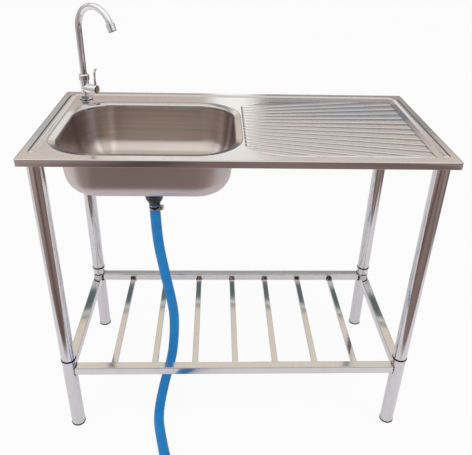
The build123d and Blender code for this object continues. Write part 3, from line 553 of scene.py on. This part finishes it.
def top_layout():
    """Triangles over the plan of the flat, along the ribs, the bead and the edges."""
    spots, lines = [], []
    loops = [add_line(spots, lines, outline_loop(-fold_radius), True),
             add_line(spots, lines, opening_loop(border_width), True)]
    add_line(spots, lines, outline_loop(-fold_radius - guard), True)
    add_line(spots, lines, opening_loop(border_width + guard), True)
    hole = arc_points(tap_spot, tap_hole_radius, [11.25 * step for step in range(32)])
    add_line(spots, lines, hole, True)
    add_line(spots, lines, bead_path(0.0))
    for off in bead_lines:
        right_tip = arc_points((bead_side, bead_tips[1]), off, range(-15, -166, -15))
        left_tip = arc_points((-bead_side, bead_tips[0]), off, range(-15, -166, -15))
        outline = bead_path(off) + right_tip + bead_path(-off)[::-1] + left_tip
        add_line(spots, lines, outline, True)
    for run in rib_runs():
        add_line(spots, lines, run)
    for depth in field_lines:
        add_line(spots, lines, field_ring(depth), True)
    spots = [Vector(spot) for spot in spots]
    found, _, triangles, sources, _, _ = geometry.delaunay_2d_cdt(spots, lines, [], 0, 0.01)
    place_of = {source: number for number, group in enumerate(sources) for source in group}

    def kept(triangle):
        x, y = sum((found[corner] for corner in triangle), Vector((0, 0))) / 3
        if math.hypot(x - tap_spot[0], y - tap_spot[1]) < tap_hole_radius:
            return False
        reach = bowl_corner + border_width
        off_x = max(abs(x - bowl_middle[0]) - bowl_half[0] - border_width + reach, 0.0)
        off_y = max(abs(y - bowl_middle[1]) - bowl_half[1] - border_width + reach, 0.0)
        return math.hypot(off_x, off_y) > reach

    edge, border = ([place_of[number] for number in loop] for loop in loops)
    return found, [tuple(triangle) for triangle in triangles if kept(triangle)], edge, border


def strip(faces, near, far):
    """Joins two loops of the same length with a band of faces."""
    for number in range(len(near)):
        following = (number + 1) % len(near)
        faces.append((near[number], far[number], far[following], near[following]))


def sheet_mesh(name, points, faces, wall, charts=None, back_slot=0):
    """A mesh of a sheet: its face, its back one wall under it, and its cut edges."""
    face_mesh = bpy.data.meshes.new(name)
    face_mesh.from_pydata(points, [], faces)
    work = bmesh.new()
    work.from_mesh(face_mesh)
    layer = work.loops.layers.uv.new("UVMap") if charts else None
    work.verts.ensure_lookup_table()
    work.normal_update()
    backs = [work.verts.new(vert.co - vert.normal * wall) for vert in list(work.verts)]
    work.verts.ensure_lookup_table()
    outer = list(work.faces)
    rims = [edge for edge in work.edges if edge.is_boundary]
    for face in outer:
        work.faces.new([backs[vert.index] for vert in reversed(face.verts)]).material_index = back_slot
    for edge in rims:
        loop = edge.link_loops[0]
        start, stop = loop.vert, loop.link_loop_next.vert
        rim = work.faces.new((stop, start, backs[start.index], backs[stop.index]))
        for side in rim.edges:
            if side.verts[0].index % len(backs) != side.verts[1].index % len(backs):
                side.smooth = False
    for face in work.faces:
        face.smooth = True
        if charts:
            for loop in face.loops:
                loop[layer].uv = charts[loop.vert.index % len(backs)]
    work.to_mesh(face_mesh)
    work.free()
    return face_mesh


plan, top_faces, top_edge, top_border = top_layout()
top_points = [(x * MM, y * MM, (top_z + top_height(x, y)) * MM) for x, y in plan]


def add_loop(points, loop, z):
    """Adds a loop of points at a height and gives back their numbers."""
    points.extend((x * MM, y * MM, z * MM) for x, y in loop)
    return list(range(len(points) - len(loop), len(points)))


fold = softened(((-30.0, top_z), (0.0, top_z), (0.0, apron_foot), (-hem_width, apron_foot)),
                (fold_radius, hem_radius))
last = top_edge
for grow, z in fold[2:]:
    loop = add_loop(top_points, outline_loop(grow), z)
    strip(top_faces, last, loop)
    last = loop
slope = softened((
    (border_width + 6.0, top_z), (border_width, top_z), (0.0, top_z - border_drop),
    ((bowl_joint - top_z + border_drop) * wall_lean, bowl_joint),
), (12.0, lip_radius))
last = top_border
for grow, z in slope[2:]:
    loop = add_loop(top_points, opening_loop(grow), z)
    strip(top_faces, loop, last)
    last = loop
top_mesh = sheet_mesh("sink_top_skin", top_points, top_faces, sheet_wall * MM)

top_tones = (0.76, 0.74, 0.72, 1), (0.64, 0.62, 0.60, 1)
top_steel = drawn_steel("top_steel", *top_tones, 0.085, "X", 0.0001, 0.000003)
finish_nodes(top_steel, "sink_top")

# Two painted reflections are laid over the steel's own tone: a cooler one over the back of the ribbed
# field, and a darker dusky one on the strip of flat past the ribs' ends. They stand for what the steel
# mirrors there, not for its colour.
tree, _, (x, y, z) = places_on(top_steel)
cool_painted_reflection = product(
    tree,
    spread(tree, y, 0.0, 0.6, 0.015, 0.045), spread(tree, y, 1.0, 0.0, 0.176, 0.19),
    spread(tree, x, 0.0, 1.0, 0.04, 0.2), spread(tree, x, 1.0, 0.0, 0.445, 0.46),
)
lay_over(top_steel, cool_painted_reflection, (0.52, 0.59, 0.64, 1))
# the darker painted reflection on the strip past the ribs' ends
dusky_painted_reflection = product(tree, patch(tree, x, 0.4465, 0.464, 0.001), patch(tree, y, 0.03, 0.172, 0.008))
lay_over(top_steel, dusky_painted_reflection, (0.40, 0.44, 0.48, 1))

sink_top = new_piece("sink_top_skin", top_mesh, top_steel, "root")
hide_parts("sink_top")

# ---- Bowl -------------------------------------------------------------------
# Deep-drawn from the same sheet, welded in under the top's lip and left satin, with the
# lines of its polishing round it. Its floor is sunk round the waste hole.
bowl_floor = 720.0
bowl_floor_radius = 52.0
recess_radius, recess_drop = 42.0, 3.0
waste_hole_radius = 26.0
wall_steps, floor_steps = 6, 7

down = -(top_z - border_drop - bowl_joint) * wall_lean
floor_edge = -(top_z - border_drop - bowl_floor) * wall_lean
walls = softened(((down, bowl_joint), (floor_edge, bowl_floor), (floor_edge - 60.0, bowl_floor)),
                 (bowl_floor_radius,), 16)
walls = [walls[0].lerp(walls[1], step / wall_steps) for step in range(wall_steps)] + walls[1:-1]
rings = [(opening_loop(grow), z) for grow, z in walls]
flat_edge = rings[-1][0]
turns = [math.atan2(y - bowl_middle[1], x - bowl_middle[0]) for x, y in flat_edge]
waste_profile = softened(((60.0, bowl_floor), (recess_radius + 1.0, bowl_floor),
                          (recess_radius - 1.0, bowl_floor - recess_drop),
                          (waste_hole_radius, bowl_floor - recess_drop)), (2.5, 2.0), 4)
circles = [[Vector(bowl_middle) + reach * Vector((math.cos(turn), math.sin(turn))) for turn in turns]
           for reach, z in waste_profile]
for step in range(1, floor_steps):
    share = step / floor_steps
    rings.append(([one.lerp(other, share) for one, other in zip(flat_edge, circles[1])], bowl_floor))
rings += [(circle, z) for circle, (reach, z) in list(zip(circles, waste_profile))[1:]]

map_width = 1.45  # about the metres round the walls, on the map that the polishing follows
bowl_points, bowl_faces, bowl_charts = [], [], []
last, run, before = None, 0.0, None
for loop, z in rings:
    spot = Vector((*loop[9], z))
    run += (spot - before).length if before else 0.0
    before = spot
    ring = add_loop(bowl_points, loop, z)
    bowl_charts += [(number / len(loop) * map_width, run * MM) for number in range(len(loop))]
    if last:
        strip(bowl_faces, ring, last)
    last = ring
bowl_mesh = sheet_mesh("bowl_skin", bowl_points, bowl_faces, sheet_wall * MM, bowl_charts, 1)


def bowl_finish(name, roughness, colour, shade, streak):
    """Satin steel whose polishing goes round the bowl."""
    finish, tree, place = new_finish(name, roughness, 1.0)
    chart = add(tree, "ShaderNodeUVMap", uv_map="UVMap").outputs[0]
    lines = grain(tree, chart, (5.0, 600.0, 1.0), 2.0)
    bands = grain(tree, chart, (1.5, 90.0, 1.0), 3.0)
    clouds = grain(tree, place, 11.0, 2.0)
    tone = blend(tree, spread(tree, lines, 0.0, 0.7), colour, shade)
    tone = blend(tree, spread(tree, bands, 0.0, 0.6, 0.4, 0.65), tone, streak)
    dress(finish, tone, spread(tree, bands, roughness, 1.2 * roughness), (clouds, 0.0002))
    return finish


bowl_inside = bowl_finish(
    "bowl_inside_steel", 0.28, (0.72, 0.65, 0.60, 1), (0.60, 0.53, 0.48, 1), (0.52, 0.44, 0.39, 1)
)
bowl_outside = bowl_finish(
    "bowl_outside_steel", 0.38, (0.78, 0.71, 0.68, 1), (0.66, 0.59, 0.56, 1), (0.58, 0.51, 0.48, 1)
)


def ramp(tree, value, stops):
    """Colours along a value from 0 to 1."""
    made = add(tree, "ShaderNodeValToRGB", {0: value})
    elements = made.color_ramp.elements
    while len(elements) < len(stops):
        elements.new(0.5)
    for element, (place_now, colour) in zip(elements, stops):
        element.position = place_now
        element.color = (*colour, 1.0)
    return made.outputs[0]


# Painted reflections are laid on round the walls, by turns: the right wall dusky and blue between painted
# bright streaks of highlight, the back warm, painted bright streaks again in the left corner, and a browner
# left wall. They stand for the room that the steel mirrors, not for the steel's own colour, and fade out
# towards the floor.
tree = bowl_inside.node_tree
chart = add(tree, "ShaderNodeSeparateXYZ", {0: add(tree, "ShaderNodeUVMap", uv_map="UVMap").outputs[0]})
painted_wall_reflections = ramp(tree, spread(tree, chart.outputs[0], 0.0, 1.0, 0.0, map_width), (
    (0.0, (0.80, 0.80, 0.86)), (0.06, (0.50, 0.52, 0.64)), (0.12, (0.34, 0.36, 0.50)),
    (0.20, (0.40, 0.42, 0.56)), (0.232, (0.44, 0.46, 0.58)), (0.240, (1.38, 1.50, 1.64)),
    (0.252, (1.38, 1.50, 1.64)), (0.258, (0.70, 0.70, 0.76)), (0.274, (1.30, 1.36, 1.44)),
    (0.286, (0.95, 0.95, 0.96)), (0.32, (1.0, 1.0, 1.0)), (0.498, (1.0, 1.0, 1.0)),
    (0.506, (1.30, 1.32, 1.34)), (0.516, (0.90, 0.88, 0.86)), (0.532, (0.86, 0.82, 0.80)),
    (0.540, (1.34, 1.40, 1.44)), (0.550, (0.80, 0.76, 0.76)), (0.60, (0.62, 0.56, 0.56)),
    (0.68, (0.56, 0.50, 0.50)), (0.76, (0.74, 0.70, 0.70)), (0.82, (0.95, 0.95, 0.95)),
))
painted_reflection_reach = spread(tree, chart.outputs[1], 1.0, 0.0, 0.11, 0.17)
lay_over(bowl_inside, painted_reflection_reach, painted_wall_reflections, "MULTIPLY")

bowl = new_piece("bowl_skin", bowl_mesh, bowl_inside, "root")
bowl_mesh.materials.append(bowl_outside)
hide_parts("bowl")
finish_nodes(top_steel, "strainer")

# ---- Waste ------------------------------------------------------------------
# A blue-black moulded cup and tail under the bowl, sealed with rubber and held to the
# strainer by one screw.
waste_plastic = mottled(
    "waste_plastic", 0.0, 160.0, ((0.002, 0.003, 0.008, 1), (0.010, 0.018, 0.042, 1)),
    (0.18, 0.34), 0.00006, Specular_IOR_Level=0.45,
)
finish_nodes(waste_plastic, "waste_body")

nut_profile = [  # radius and height, down the outside and back up against the cup
    (29.0, 706.0), (31.0, 705.0), (31.6, 703.0), (31.6, 682.0), (31.0, 679.0), (29.2, 676.5), (28.6, 671.0),
    (28.5, 665.0), (27.0, 661.0), (24.9, 657.0), (24.2, 652.5), (23.2, 648.5), (21.4, 644.5), (18.8, 640.5),
    (16.2, 637.0), (14.6, 634.6), (13.4, 634.6), (15.5, 638.9), (20.5, 648.9), (25.5, 658.8), (28.2, 664.4),
    (28.3, 700.0),
]
nut_sides = 96
nut_body_radius = 31.5  # past it, the nut has the ribs that a hand turns it by
grip = 0.8
nut_points, rows = [], []
for radius, z in nut_profile:
    ring = []
    for side in range(nut_sides):
        turn = 2 * math.pi * side / nut_sides
        reach = radius - (grip if radius > nut_body_radius and side % 4 > 1 else 0.0)
        ring.append((bowl_middle[0] + reach * math.cos(turn), bowl_middle[1] + reach * math.sin(turn)))
    rows.append(add_loop(nut_points, ring, z))
nut_faces = []
for near, far in zip(rows, rows[1:] + rows[:1]):
    strip(nut_faces, near, far)
nut_mesh = bpy.data.meshes.new("waste_nut")
nut_mesh.from_pydata(nut_points, [], nut_faces)
nut_mesh.shade_smooth()
nut_mesh.set_sharp_from_angle(angle=math.radians(35))
new_piece("waste_nut", nut_mesh, waste_plastic, "root")

rubber_tones = (0.012, 0.012, 0.012, 1), (0.03, 0.03, 0.03, 1)
seal_rubber = mottled("seal_rubber", 0.0, 300.0, rubber_tones, (0.6, 0.6), 0.00004)
finish_nodes(
    seal_rubber, "waste_seal", "strainer_seal", "tap_base_washer", "tap_back_washer", "spout_o_ring"
)

# ---- Drain hose -------------------------------------------------------------
# Blue flexible PVC hose with a cord braid in its wall. It drops from the waste, goes
# between two slats and runs forward over the floor to a bare cut end.
hose_route = [
    (-0.225, -0.0325, 0.632), (-0.225, -0.0325, 0.530), (-0.206, -0.0325, 0.395),
    (-0.1845, -0.0315, 0.262), (-0.186, -0.033, 0.177), (-0.193, -0.065, 0.104),
    (-0.215, -0.123, 0.053), (-0.229, -0.225, 0.0149), (-0.210, -0.313, 0.0149),
    (-0.189, -0.396, 0.0149), (-0.143, -0.463, 0.0149), (-0.074, -0.505, 0.0149),
]
hose_radius = 0.01475
hose_bore_radius = 0.012
hose_sides = 40
braid_cords = 12  # round the hose, leaning one way and as many the other
braid_lead = 0.060  # a cord goes once round in this


def smooth_line(points, steps=24):
    """Points on the smooth curve that a route's points control."""
    curve = bpy.data.curves.new("route", "CURVE")
    curve.dimensions = "3D"
    curve.resolution_u = steps
    spline = curve.splines.new("NURBS")
    spline.points.add(len(points) - 1)
    for point, place_now in zip(spline.points, points):
        point.co = (*place_now, 1.0)
    spline.order_u = 3
    spline.use_endpoint_u = True
    holder = bpy.data.objects.new("route", curve)
    line = bpy.data.meshes.new_from_object(holder)
    found = [vertex.co.copy() for vertex in line.vertices]
    bpy.data.objects.remove(holder)
    bpy.data.curves.remove(curve)
    bpy.data.meshes.remove(line)
    return found


def tube_mesh(name, line, radius, bore, sides):
    """A tube with a wall along a line, with a map of its turn and its length."""
    mesh = bpy.data.meshes.new(name)
    work = bmesh.new()
    layer = work.loops.layers.uv.new("UVMap")
    across = Vector((1.0, 0.0, 0.0))
    travelled = 0.0
    lengths, outer, inner = [], [], []
    for number, spot in enumerate(line):
        ahead = line[min(number + 1, len(line) - 1)] - line[max(number - 1, 0)]
        ahead.normalize()
        across = (across - across.dot(ahead) * ahead).normalized()
        beside = ahead.cross(across)
        if number:
            travelled += (spot - line[number - 1]).length
        lengths.append(travelled)
        for rows, reach in ((outer, radius), (inner, bore)):
            ring = []
            for side in range(sides):
                turn = 2 * math.pi * side / sides
                out = across * math.cos(turn) + beside * math.sin(turn)
                ring.append(work.verts.new(spot + reach * out))
            rows.append(ring)

    def face(corners, places, smooth=True):
        made = work.faces.new(corners)
        made.smooth = smooth
        for loop, spot in zip(made.loops, places):
            loop[layer].uv = spot

    for number, (low, high) in enumerate(zip(lengths, lengths[1:])):
        for side in range(sides):
            nxt = (side + 1) % sides
            u, v = side / sides, (side + 1) / sides
            near, far = outer[number], outer[number + 1]
            face((near[side], near[nxt], far[nxt], far[side]), ((u, low), (v, low), (v, high), (u, high)))
            near, far = inner[number], inner[number + 1]
            face((near[nxt], near[side], far[side], far[nxt]), ((v, low), (u, low), (u, high), (v, high)))
    for side in range(sides):
        nxt = (side + 1) % sides
        for row, first, second in ((0, nxt, side), (-1, side, nxt)):
            face((outer[row][first], outer[row][second], inner[row][second], inner[row][first]),
                 [(side / sides, lengths[row])] * 4, False)
    work.to_mesh(mesh)
    work.free()
    return mesh


hose_pvc, tree, place = new_finish("hose_pvc", 0.42, Specular_IOR_Level=0.35)
hose_map = add(tree, "ShaderNodeUVMap", uv_map="UVMap").outputs[0]
turn_share, along, _ = add(tree, "ShaderNodeSeparateXYZ", {0: hose_map}).outputs
braid = None
for lean in (1.0, -1.0):
    turn = reckon(tree, "MULTIPLY", along, lean / braid_lead)
    turn = reckon(tree, "ADD", turn, turn_share)
    turn = reckon(tree, "MULTIPLY", turn, 2 * math.pi * braid_cords)
    cord = spread(tree, reckon(tree, "COSINE", turn), 0.0, 1.0, 0.55, 1.0)
    braid = cord if braid is None else reckon(tree, "MAXIMUM", braid, cord)
cloud = grain(tree, place, 30.0, 4.0)
dust = grain(tree, place, 400.0, 3.0)
tone = blend(tree, spread(tree, cloud, 0.0, 1.0), (0.006, 0.235, 0.62, 1), (0.008, 0.30, 0.74, 1))
tone = blend(tree, spread(tree, braid, 0.0, 0.28, 0.0, 1.0), tone, (0.004, 0.10, 0.34, 1))
dress(hose_pvc, tone, spread(tree, dust, 0.36, 0.50), (braid, 0.00025), (dust, 0.00003))

hose_line = smooth_line(hose_route)
hose_mesh = tube_mesh("drain_hose_skin", hose_line, hose_radius, hose_bore_radius, hose_sides)
hose = new_piece("drain_hose_skin", hose_mesh, hose_pvc, "root")
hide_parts("drain_hose")

# ---- Fasteners --------------------------------------------------------------
# The worm-drive clamp that holds the hose on the waste's tail, the waste's screw and the
# lever's screw: steel, plated with zinc.
screw_tones = (0.62, 0.60, 0.57, 1), (0.40, 0.38, 0.36, 1)
fastener_steel = mottled("fastener_steel", 1.0, 240.0, screw_tones, (0.2, 0.4), 0.00003)
finish_nodes(fastener_steel, "hose_clamp_", "waste_screw", "lever_screw")

# The band is painted dark as shade where the worm's slots are cut, since the slots are only bumps here and
# not holes in the mesh. Along its edges it keeps its own bright tone.
band_tones = (0.72, 0.70, 0.70, 1), (0.50, 0.48, 0.48, 1)
band_steel = mottled("band_steel", 1.0, 200.0, band_tones, (0.2, 0.36), 0.00003)
low, high = (corner[2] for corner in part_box("hose_clamp_band"))
tree, _, (x, y, z) = places_on(band_steel)
# the slots' band, painted dark as the shade in the slots, and sunk a little as a bump
slots_and_painted_shade = patch(tree, z, low + 0.002, high - 0.0015, 0.0015)
lay_over(band_steel, slots_and_painted_shade, (0.060, 0.030, 0.028, 1))
relief(band_steel, (slots_and_painted_shade, -0.0002))
finish_nodes(band_steel, "hose_clamp_band")

# ---- Tap --------------------------------------------------------------------
# Cast brass body with a side valve, and a bent tube for a spout, all chromed and polished.
# A nut under the sink top holds it in its hole.
tap_chrome, tree, place = new_finish("tap_chrome", 0.05, 1.0)
cloud = grain(tree, place, 35.0)
wipe = grain(tree, place, 140.0, 4.0)
tone = blend(tree, spread(tree, wipe, 0.0, 1.0), (0.94, 0.94, 0.95, 1), (0.86, 0.86, 0.87, 1))
dress(tap_chrome, tone, spread(tree, wipe, 0.03, 0.07), (cloud, 0.00001))
finish_nodes(
    tap_chrome, "tap_body", "tap_base_nut", "spout_collar", "spout_tube", "aerator_shell", "tap_lever"
)

brass_tones = (0.80, 0.58, 0.28, 1), (0.58, 0.38, 0.17, 1)
tap_brass = mottled("tap_brass", 1.0, 180.0, brass_tones, (0.2, 0.38), 0.00003)
finish_nodes(tap_brass, "tap_back_nut", "tap_cartridge", "valve_spindle")

aerator_tones = (0.02, 0.02, 0.022, 1), (0.05, 0.05, 0.055, 1)
aerator_plastic = mottled("aerator_plastic", 0.0, 500.0, aerator_tones, (0.4, 0.4), 0.00003, 3.0)
finish_nodes(aerator_plastic, "aerator_insert")

# The cap in the lever's hub is a lens of clear amber acrylic. The dark at its rim is painted shade,
# standing in for how a clear lens darkens at its edge.
cap_amber = mottled(
    "cap_amber", 0.0, 160.0, ((0.36, 0.17, 0.05, 1), (0.62, 0.36, 0.15, 1)), (0.06, 0.06), 0.00003, 3.0,
    Coat_Weight=0.6, Coat_Roughness=0.04, Transmission_Weight=0.35,
)
low, high = (Vector(corner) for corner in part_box("index_cap"))
cap_middle, cap_radius = (low + high) / 2, max(high - low) / 2
tree, place, _ = places_on(cap_amber)
off = add(tree, "ShaderNodeVectorMath", {0: place, 1: cap_middle}, operation="DISTANCE").outputs["Value"]
# painted shade towards the cap's rim
painted_rim_shade = spread(tree, off, 0.0, 1.0, 0.66 * cap_radius, 0.9 * cap_radius)
lay_over(cap_amber, painted_rim_shade, (0.06, 0.02, 0.005, 1))
finish_nodes(cap_amber, "index_cap")

# ---- Floor and light --------------------------------------------------------
# The camera sees white paper that runs into a white room. The steel mirrors more than that:
# the paper's end on a brown floor, and a room with a dusky wall, a window and a strip light.
floor_reach = 12.0
paper_front = -0.53  # where the paper ends and the floor starts, in the steel's mirror
paper_glow = 0.92  # share of the paper's look that doesn't depend on the lamps
mirror_glow = 0.4  # and of what the steel mirrors of the floor
room_light = 0.7

floor_mesh = bpy.data.meshes.new("floor")
corners = [(-floor_reach, -floor_reach, 0), (floor_reach, -floor_reach, 0),
           (floor_reach, floor_reach, 0), (-floor_reach, floor_reach, 0)]
floor_mesh.from_pydata(corners, [], [(0, 1, 2, 3)])
floor = in_scene("floor", floor_mesh)


def by_ray(tree, look, *others):
    """A shader for all rays, and others for the rays that they name."""
    ray = add(tree, "ShaderNodeLightPath")
    for kind, other in others:
        look = add(tree, "ShaderNodeMixShader", {0: ray.outputs[kind], 1: look, 2: other}).outputs[0]
    return look


paper = bpy.data.materials.new("floor_paper")
paper.use_nodes = True
tree = paper.node_tree
tree.nodes.clear()
place = add(tree, "ShaderNodeTexCoord").outputs["Object"]
x, y, z = add(tree, "ShaderNodeSeparateXYZ", {0: place}).outputs
matt = add(tree, "ShaderNodeBsdfDiffuse", {"Color": (0.86, 0.86, 0.86, 1)}).outputs[0]
glow = add(tree, "ShaderNodeEmission", {"Color": (1, 1, 1, 1), "Strength": 1.0}).outputs[0]
seen = add(tree, "ShaderNodeMixShader", {0: paper_glow, 1: matt, 2: glow}).outputs[0]

# What the steel mirrors of the floor: the white paper, browns past its end that even out
# near it and far off, white at the left side, dusky at the right, and dark at the back.
browns = ramp(tree, spread(tree, x, 0.0, 1.0, -1.6, 1.6), (
    (0.0, (0.46, 0.38, 0.36)), (0.13, (0.40, 0.32, 0.30)), (0.22, (0.26, 0.20, 0.185)),
    (0.32, (0.12, 0.085, 0.09)), (0.38, (0.13, 0.09, 0.09)), (0.46, (0.24, 0.175, 0.16)),
    (0.60, (0.30, 0.225, 0.215)), (0.80, (0.24, 0.175, 0.165)), (0.90, (0.20, 0.15, 0.14)),
    (1.0, (0.36, 0.30, 0.29)),
))
browns = blend(tree, spread(tree, y, 1.0, 0.0, -4.2, -3.2), browns, (0.27, 0.225, 0.24, 1))
browns = blend(tree, spread(tree, y, 0.0, 0.3, -1.9, -1.3), browns, (0.30, 0.22, 0.185, 1))
sides = blend(tree, spread(tree, x, 0.0, 1.0, -0.2, 0.2), (0.90, 0.88, 0.88, 1), (0.22, 0.18, 0.18, 1))
aside = spread(tree, reckon(tree, "ABSOLUTE", x), 0.0, 1.0, 1.25, 1.75)
mirrored = blend(tree, aside, (0.90, 0.88, 0.93, 1), sides)
mirrored = blend(tree, spread(tree, y, 0.0, 1.0, 1.7, 2.6), mirrored, (0.10, 0.11, 0.14, 1))
mirrored = blend(tree, spread(tree, y, 1.0, 0.0, paper_front - 0.10, paper_front), mirrored, browns)
lit = add(tree, "ShaderNodeBsdfDiffuse", {"Color": mirrored}).outputs[0]
even = add(tree, "ShaderNodeEmission", {"Color": mirrored, "Strength": 1.0}).outputs[0]
mirror = add(tree, "ShaderNodeMixShader", {0: mirror_glow, 1: lit, 2: even}).outputs[0]
look = by_ray(tree, matt, ("Is Camera Ray", seen), ("Is Glossy Ray", mirror), ("Is Transmission Ray", seen))
add(tree, "ShaderNodeOutputMaterial", {0: look})
floor_mesh.materials.append(paper)

world = bpy.data.worlds.new("studio")
world.use_nodes = True
world.cycles.sampling_method = "NONE"
bpy.context.scene.world = world
tree = world.node_tree
tree.nodes.clear()
aim = add(tree, "ShaderNodeTexCoord").outputs["Generated"]
x, y, z = add(tree, "ShaderNodeSeparateXYZ", {0: aim}).outputs
rise = spread(tree, reckon(tree, "ARCSINE", z), 0.0, 1.0, 0.0, math.pi / 2)  # 1 is straight up
side = reckon(tree, "ARCTAN2", x, y)  # 0 is to the back of the sink, and more is to the right
away = reckon(tree, "ABSOLUTE", side)
wall = ramp(tree, rise, (
    (0.0, (0.10, 0.11, 0.14)), (0.09, (0.16, 0.16, 0.18)), (0.165, (0.26, 0.22, 0.22)),
    (0.176, (0.62, 0.52, 0.48)), (0.205, (0.74, 0.64, 0.58)), (0.250, (0.82, 0.73, 0.68)),
    (0.32, (0.74, 0.68, 0.64)), (0.376, (0.24, 0.24, 0.25)), (0.384, (0.66, 0.66, 0.68)),
    (0.391, (0.66, 0.66, 0.68)), (0.393, (0.11, 0.15, 0.16)), (0.4145, (0.13, 0.18, 0.19)),
    (0.4155, (1.0, 1.0, 1.0)), (0.4190, (1.0, 1.0, 1.0)), (0.4198, (0.16, 0.17, 0.15)),
    (0.4225, (0.20, 0.20, 0.18)), (0.4235, (0.82, 0.755, 0.66)), (0.50, (0.86, 0.80, 0.71)),
    (0.56, (0.85, 0.84, 0.83)),
))
room = ramp(tree, rise, (
    (0.0, (0.62, 0.58, 0.56)), (0.12, (0.50, 0.46, 0.45)), (0.3, (0.74, 0.72, 0.72)),
    (0.5, (1.0, 1.0, 1.02)), (1.0, (1.15, 1.15, 1.16)),
))
around = blend(tree, spread(tree, away, 1.0, 0.0, math.radians(50), math.radians(80)), room, wall)
room_patches = (  # turn, in degrees from, to and soft edge; rise from, to and soft edge; colour
    (side, (-60.0, -14.5, 2.9), (0.165, 0.228, 0.004), (0.52, 0.57, 0.58)),  # wall at the left
    (away, (158.0, 300.0, 6.0), (-1.0, 0.34, 0.04), (0.20, 0.19, 0.20)),  # behind the camera
    (side, (3.5, 60.0, 2.3), (0.1885, 0.210, 0.001), (0.24, 0.29, 0.36)),  # dusk at the right
    (side, (3.5, 60.0, 2.3), (0.203, 0.210, 0.001), (0.05, 0.06, 0.09)),
    (side, (-1.5, 5.0, 2.0), (-1.0, 0.33, 0.06), (1.15, 1.15, 1.15)),  # a pane of the window
    (side, (-14.0, 8.0, 4.6), (0.236, 0.30, 0.012), (1.0, 0.99, 0.96)),  # a strip light
)
for turn, degrees, heights, colour in room_patches:
    across = patch(tree, turn, *(math.radians(value) for value in degrees))
    share = product(tree, across, patch(tree, rise, *heights))
    around = blend(tree, share, around, (*colour, 1))
plain, mirror, white = (
    add(tree, "ShaderNodeBackground", {"Color": colour, "Strength": strength}).outputs[0]
    for colour, strength in (((0.97, 0.98, 1.0, 1), room_light), (around, 1.0), ((1, 1, 1, 1), 1.0))
)
sky = by_ray(
    tree, plain, ("Is Glossy Ray", mirror), ("Is Transmission Ray", white), ("Is Camera Ray", white)
)
add(tree, "ShaderNodeOutputWorld", {0: sky})

softboxes = (  # name, place, what it faces, width, height, watts
    ("key", (-1.9, -2.0, 3.0), (0.0, 0.0, 0.6), 4.0, 3.0, 36.0),
    ("fill", (2.6, -1.2, 2.1), (0.0, 0.0, 0.5), 2.0, 2.2, 13.0),
)
for name, where, target, width, height, watts in softboxes:
    lamp = bpy.data.lights.new(name, "AREA")
    lamp.shape = "RECTANGLE"
    lamp.size, lamp.size_y, lamp.energy = width, height, watts
    holder = in_scene(name, lamp)
    holder.location = where
    holder.rotation_euler = (Vector(target) - Vector(where)).to_track_quat("-Z", "Y").to_euler()
    holder.visible_glossy = False  # the steel mirrors the room alone

bpy.context.scene.view_settings.view_transform = "Standard"
